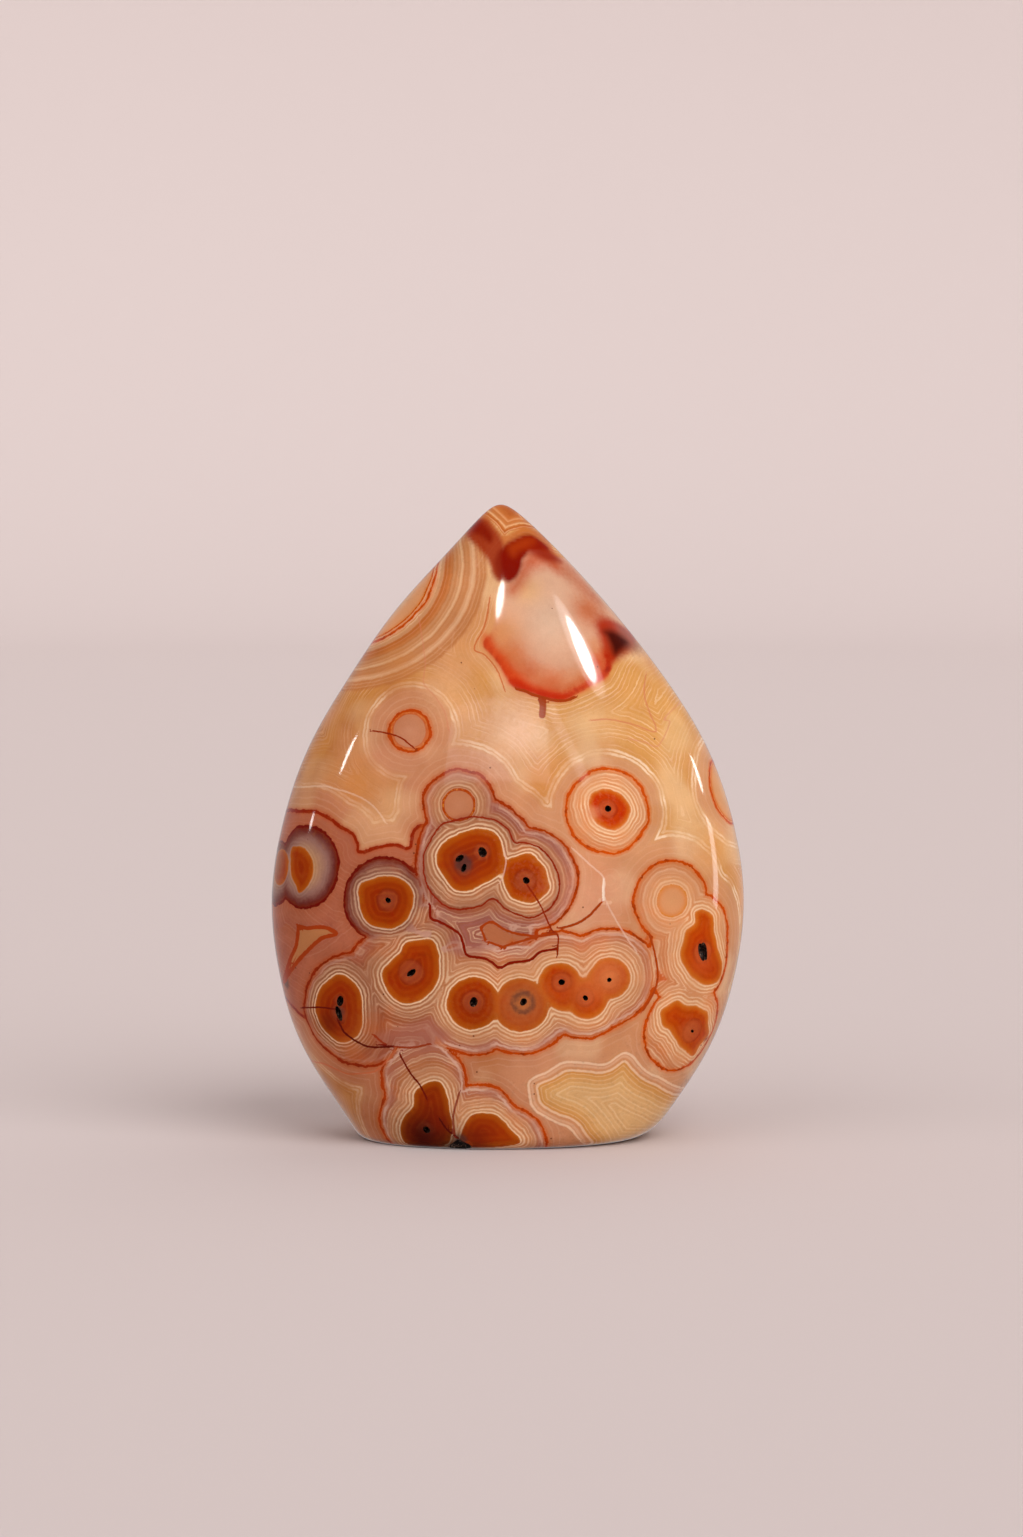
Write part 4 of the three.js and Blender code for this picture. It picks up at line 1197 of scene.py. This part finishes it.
def pitShadeMaterial():
    # the pits' walls are painted nearly black as painted shade in the hollows, with tiny crystals: pale cells
    # that partly paint glints, and bumps that catch the light
    material, tree, shader = newMaterial("paintedPitShade", pitShadeAndCrystals["finish"])
    cells = addNode(tree, "ShaderNodeTexVoronoi", {"Vector": placeInStone(tree), "Scale": pitShadeAndCrystals["scale"]})
    share = addNode(tree, "ShaderNodeSeparateColor", {0: cells.outputs["Color"]}).outputs[0]
    tree.links.new(Painter(tree).ramp(share, pitShadeAndCrystals["colours"]), shader.inputs["Base Color"])
    bump = addNode(tree, "ShaderNodeBump", {"Height": cells.outputs["Distance"], **pitShadeAndCrystals["relief"]})
    tree.links.new(bump.outputs[0], shader.inputs["Normal"])
    return material


def setField(mesh, name, kind, key, values):
    mesh.attributes.new(name, kind, "POINT").data.foreach_set(key, values.astype(np.float32).ravel())


def makeStone():
    piece = bpy.data.objects.new("polishedFlame", stoneMesh())
    bpy.context.scene.collection.objects.link(piece)
    # the pits' painted shade
    pitShade = pitShadeMaterial()
    piece.data.materials.append(stoneMaterial())
    piece.data.materials.append(pitShade)
    cutPits(piece, pitShade)
    mesh = piece.data
    print("stone cut:", len(mesh.polygons), "faces")
    mesh.polygons.foreach_set("use_smooth", np.ones(len(mesh.polygons), bool))
    mesh.set_sharp_from_angle(angle=math.radians(stone["sharpFrom"]))
    points = np.empty(len(mesh.vertices) * 3)
    mesh.vertices.foreach_get("co", points)
    points = points.reshape(-1, 3) / mm
    fields = patternFields(points)
    shade, fields["washCover"] = washFields(points, laidFlat(points))
    for name, values in fields.items():
        setField(mesh, name, "FLOAT", "value", values)
    setField(mesh, "washColour", "FLOAT_COLOR", "color", np.column_stack([shade, np.ones(len(shade))]))
    print("pattern laid out:", len(fields), "fields")
    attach(piece, "root")
    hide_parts("flame_stone")


makeStone()


studio = {
    "floorReach": 1500,
    "wallHeight": 700,
    "floorRows": 30,
    "curlRows": 24,
    "floorColumns": 160,
    "floor": (199, 186, 183),
    "air": (240, 232, 232),
    "airStrength": 0.58,
    "polish": (0.06, 0.6),  # what the polish mirrors: brightness in front of the stone and behind it
    # soft light from far away, not seen in the polish: name, azimuth, elevation, strength, spread in degrees
    "suns": [("keySoft", 38, 41, 2.08, 50), ("fillSoft", -48, 28, 0.98, 60), ("backSoft", 150, 50, 0.45, 60)],
    "sunDistance": 900,
    # boxes seen only in the polish: name, shape, azimuth, elevation, turn, width, height, watts
    "boxes": [
        ("keyBox", "ELLIPSE", 40.6, 38.9, 45, 120, 54, 0.62),
        ("keyGlow", "ELLIPSE", 40.6, 39.2, 45, 175, 104, 0.17),
        ("crestStrip", "ELLIPSE", -1.9, 41.3, -16, 26, 66, 0.13),
        ("leftStrip", "ELLIPSE", -67.3, 23.5, 0, 24, 84, 0.12),
        ("farLeftStrip", "ELLIPSE", -83, 11, 0, 30, 26, 0.03),
        ("rightStrip", "ELLIPSE", 94.5, 18.6, -38, 44, 88, 0.16),
        ("rightPane", "RECTANGLE", 85.3, 2.5, -22, 58, 190, 0.19),
        ("topPane", "RECTANGLE", -3, 22, 0, 255, 126, 0.17),
        ("topPaneMiddle", "RECTANGLE", -3, 22, 0, 200, 90, 0.055),
        ("sidePane", "RECTANGLE", 16.4, 22, 30, 30, 140, 0.026),
    ],
    "boxDistance": 600,
    "aim": (0, 0, 50),
}


def makeFloor():
    # a disc whose edge curls up into a low round wall: radius and height of rings, turned round Z
    reach, rise, rows = studio["floorReach"], studio["wallHeight"], studio["floorRows"]
    curl = np.linspace(0, np.pi / 2, studio["curlRows"])
    radii = np.concatenate([np.linspace(20, reach - 1, rows), reach + rise * np.sin(curl)])
    levels = np.concatenate([np.zeros(rows), rise * (1 - np.cos(curl))])
    angle = np.linspace(0, 2 * np.pi, studio["floorColumns"], endpoint=False)
    across, along = radii[:, None] * np.cos(angle), radii[:, None] * np.sin(angle)
    rings = np.stack([across, along, levels[:, None] + 0 * angle], axis=-1)
    points, (sides, under, over) = closedGrid(rings, (0, 0, 0), (0, 0, 0))
    mesh = meshFrom("studioFloor", points[:-1], [sides[:, ::-1], under[:, ::-1]])
    mesh.polygons.foreach_set("use_smooth", np.ones(len(mesh.polygons), bool))
    finish = {"Base Color": tint(*studio["floor"]), "Roughness": 0.9, "Specular IOR Level": 0}
    mesh.materials.append(newMaterial("paleFloor", finish)[0])
    floor = bpy.data.objects.new("studioFloor", mesh)
    floor.visible_glossy = False
    bpy.context.scene.collection.objects.link(floor)


def hang(name, kind, azimuth, elevation, distance, turn=0):
    lamp = bpy.data.objects.new(name, bpy.data.lights.new(name, kind))
    at = around(azimuth, elevation, distance, studio["aim"])
    lamp.location = Vector(at) * mm
    lamp.rotation_euler = aimedAt(at, studio["aim"], turn)
    bpy.context.scene.collection.objects.link(lamp)
    return lamp


def makeLights():
    for name, azimuth, elevation, strength, spread in studio["suns"]:
        lamp = hang(name, "SUN", azimuth, elevation, studio["sunDistance"])
        lamp.data.energy, lamp.data.angle = strength, math.radians(spread)
        lamp.visible_glossy = False
    for name, shape, azimuth, elevation, turn, width, height, watts in studio["boxes"]:
        lamp = hang(name, "AREA", azimuth, elevation, studio["boxDistance"], turn)
        lamp.data.shape, lamp.data.energy = shape, watts
        lamp.data.size, lamp.data.size_y = width * mm, height * mm
        lamp.visible_diffuse = False


def makeAir():
    # even light all round; the polish mirrors a room that is dark in front of the stone and pale behind it
    world = bpy.data.worlds.new("studioAir")
    world.use_nodes = True
    tree = world.node_tree
    air = tree.nodes["Background"]
    air.inputs["Color"].default_value = tint(*studio["air"])
    toward = addNode(tree, "ShaderNodeTexCoord").outputs["Generated"]
    backward = addNode(tree, "ShaderNodeSeparateXYZ", {0: toward}).outputs[1]
    mirrored = Painter(tree).step(backward, 0, 1, *studio["polish"])
    glossy = addNode(tree, "ShaderNodeLightPath").outputs["Is Glossy Ray"]
    strength = addNode(tree, "ShaderNodeMix", {0: glossy, 2: studio["airStrength"], 3: mirrored}).outputs[0]
    tree.links.new(strength, air.inputs["Strength"])
    bpy.context.scene.world = world
    bpy.context.scene.view_settings.view_transform = "Standard"


makeFloor()
makeLights()
makeAir()
print("studio ready")
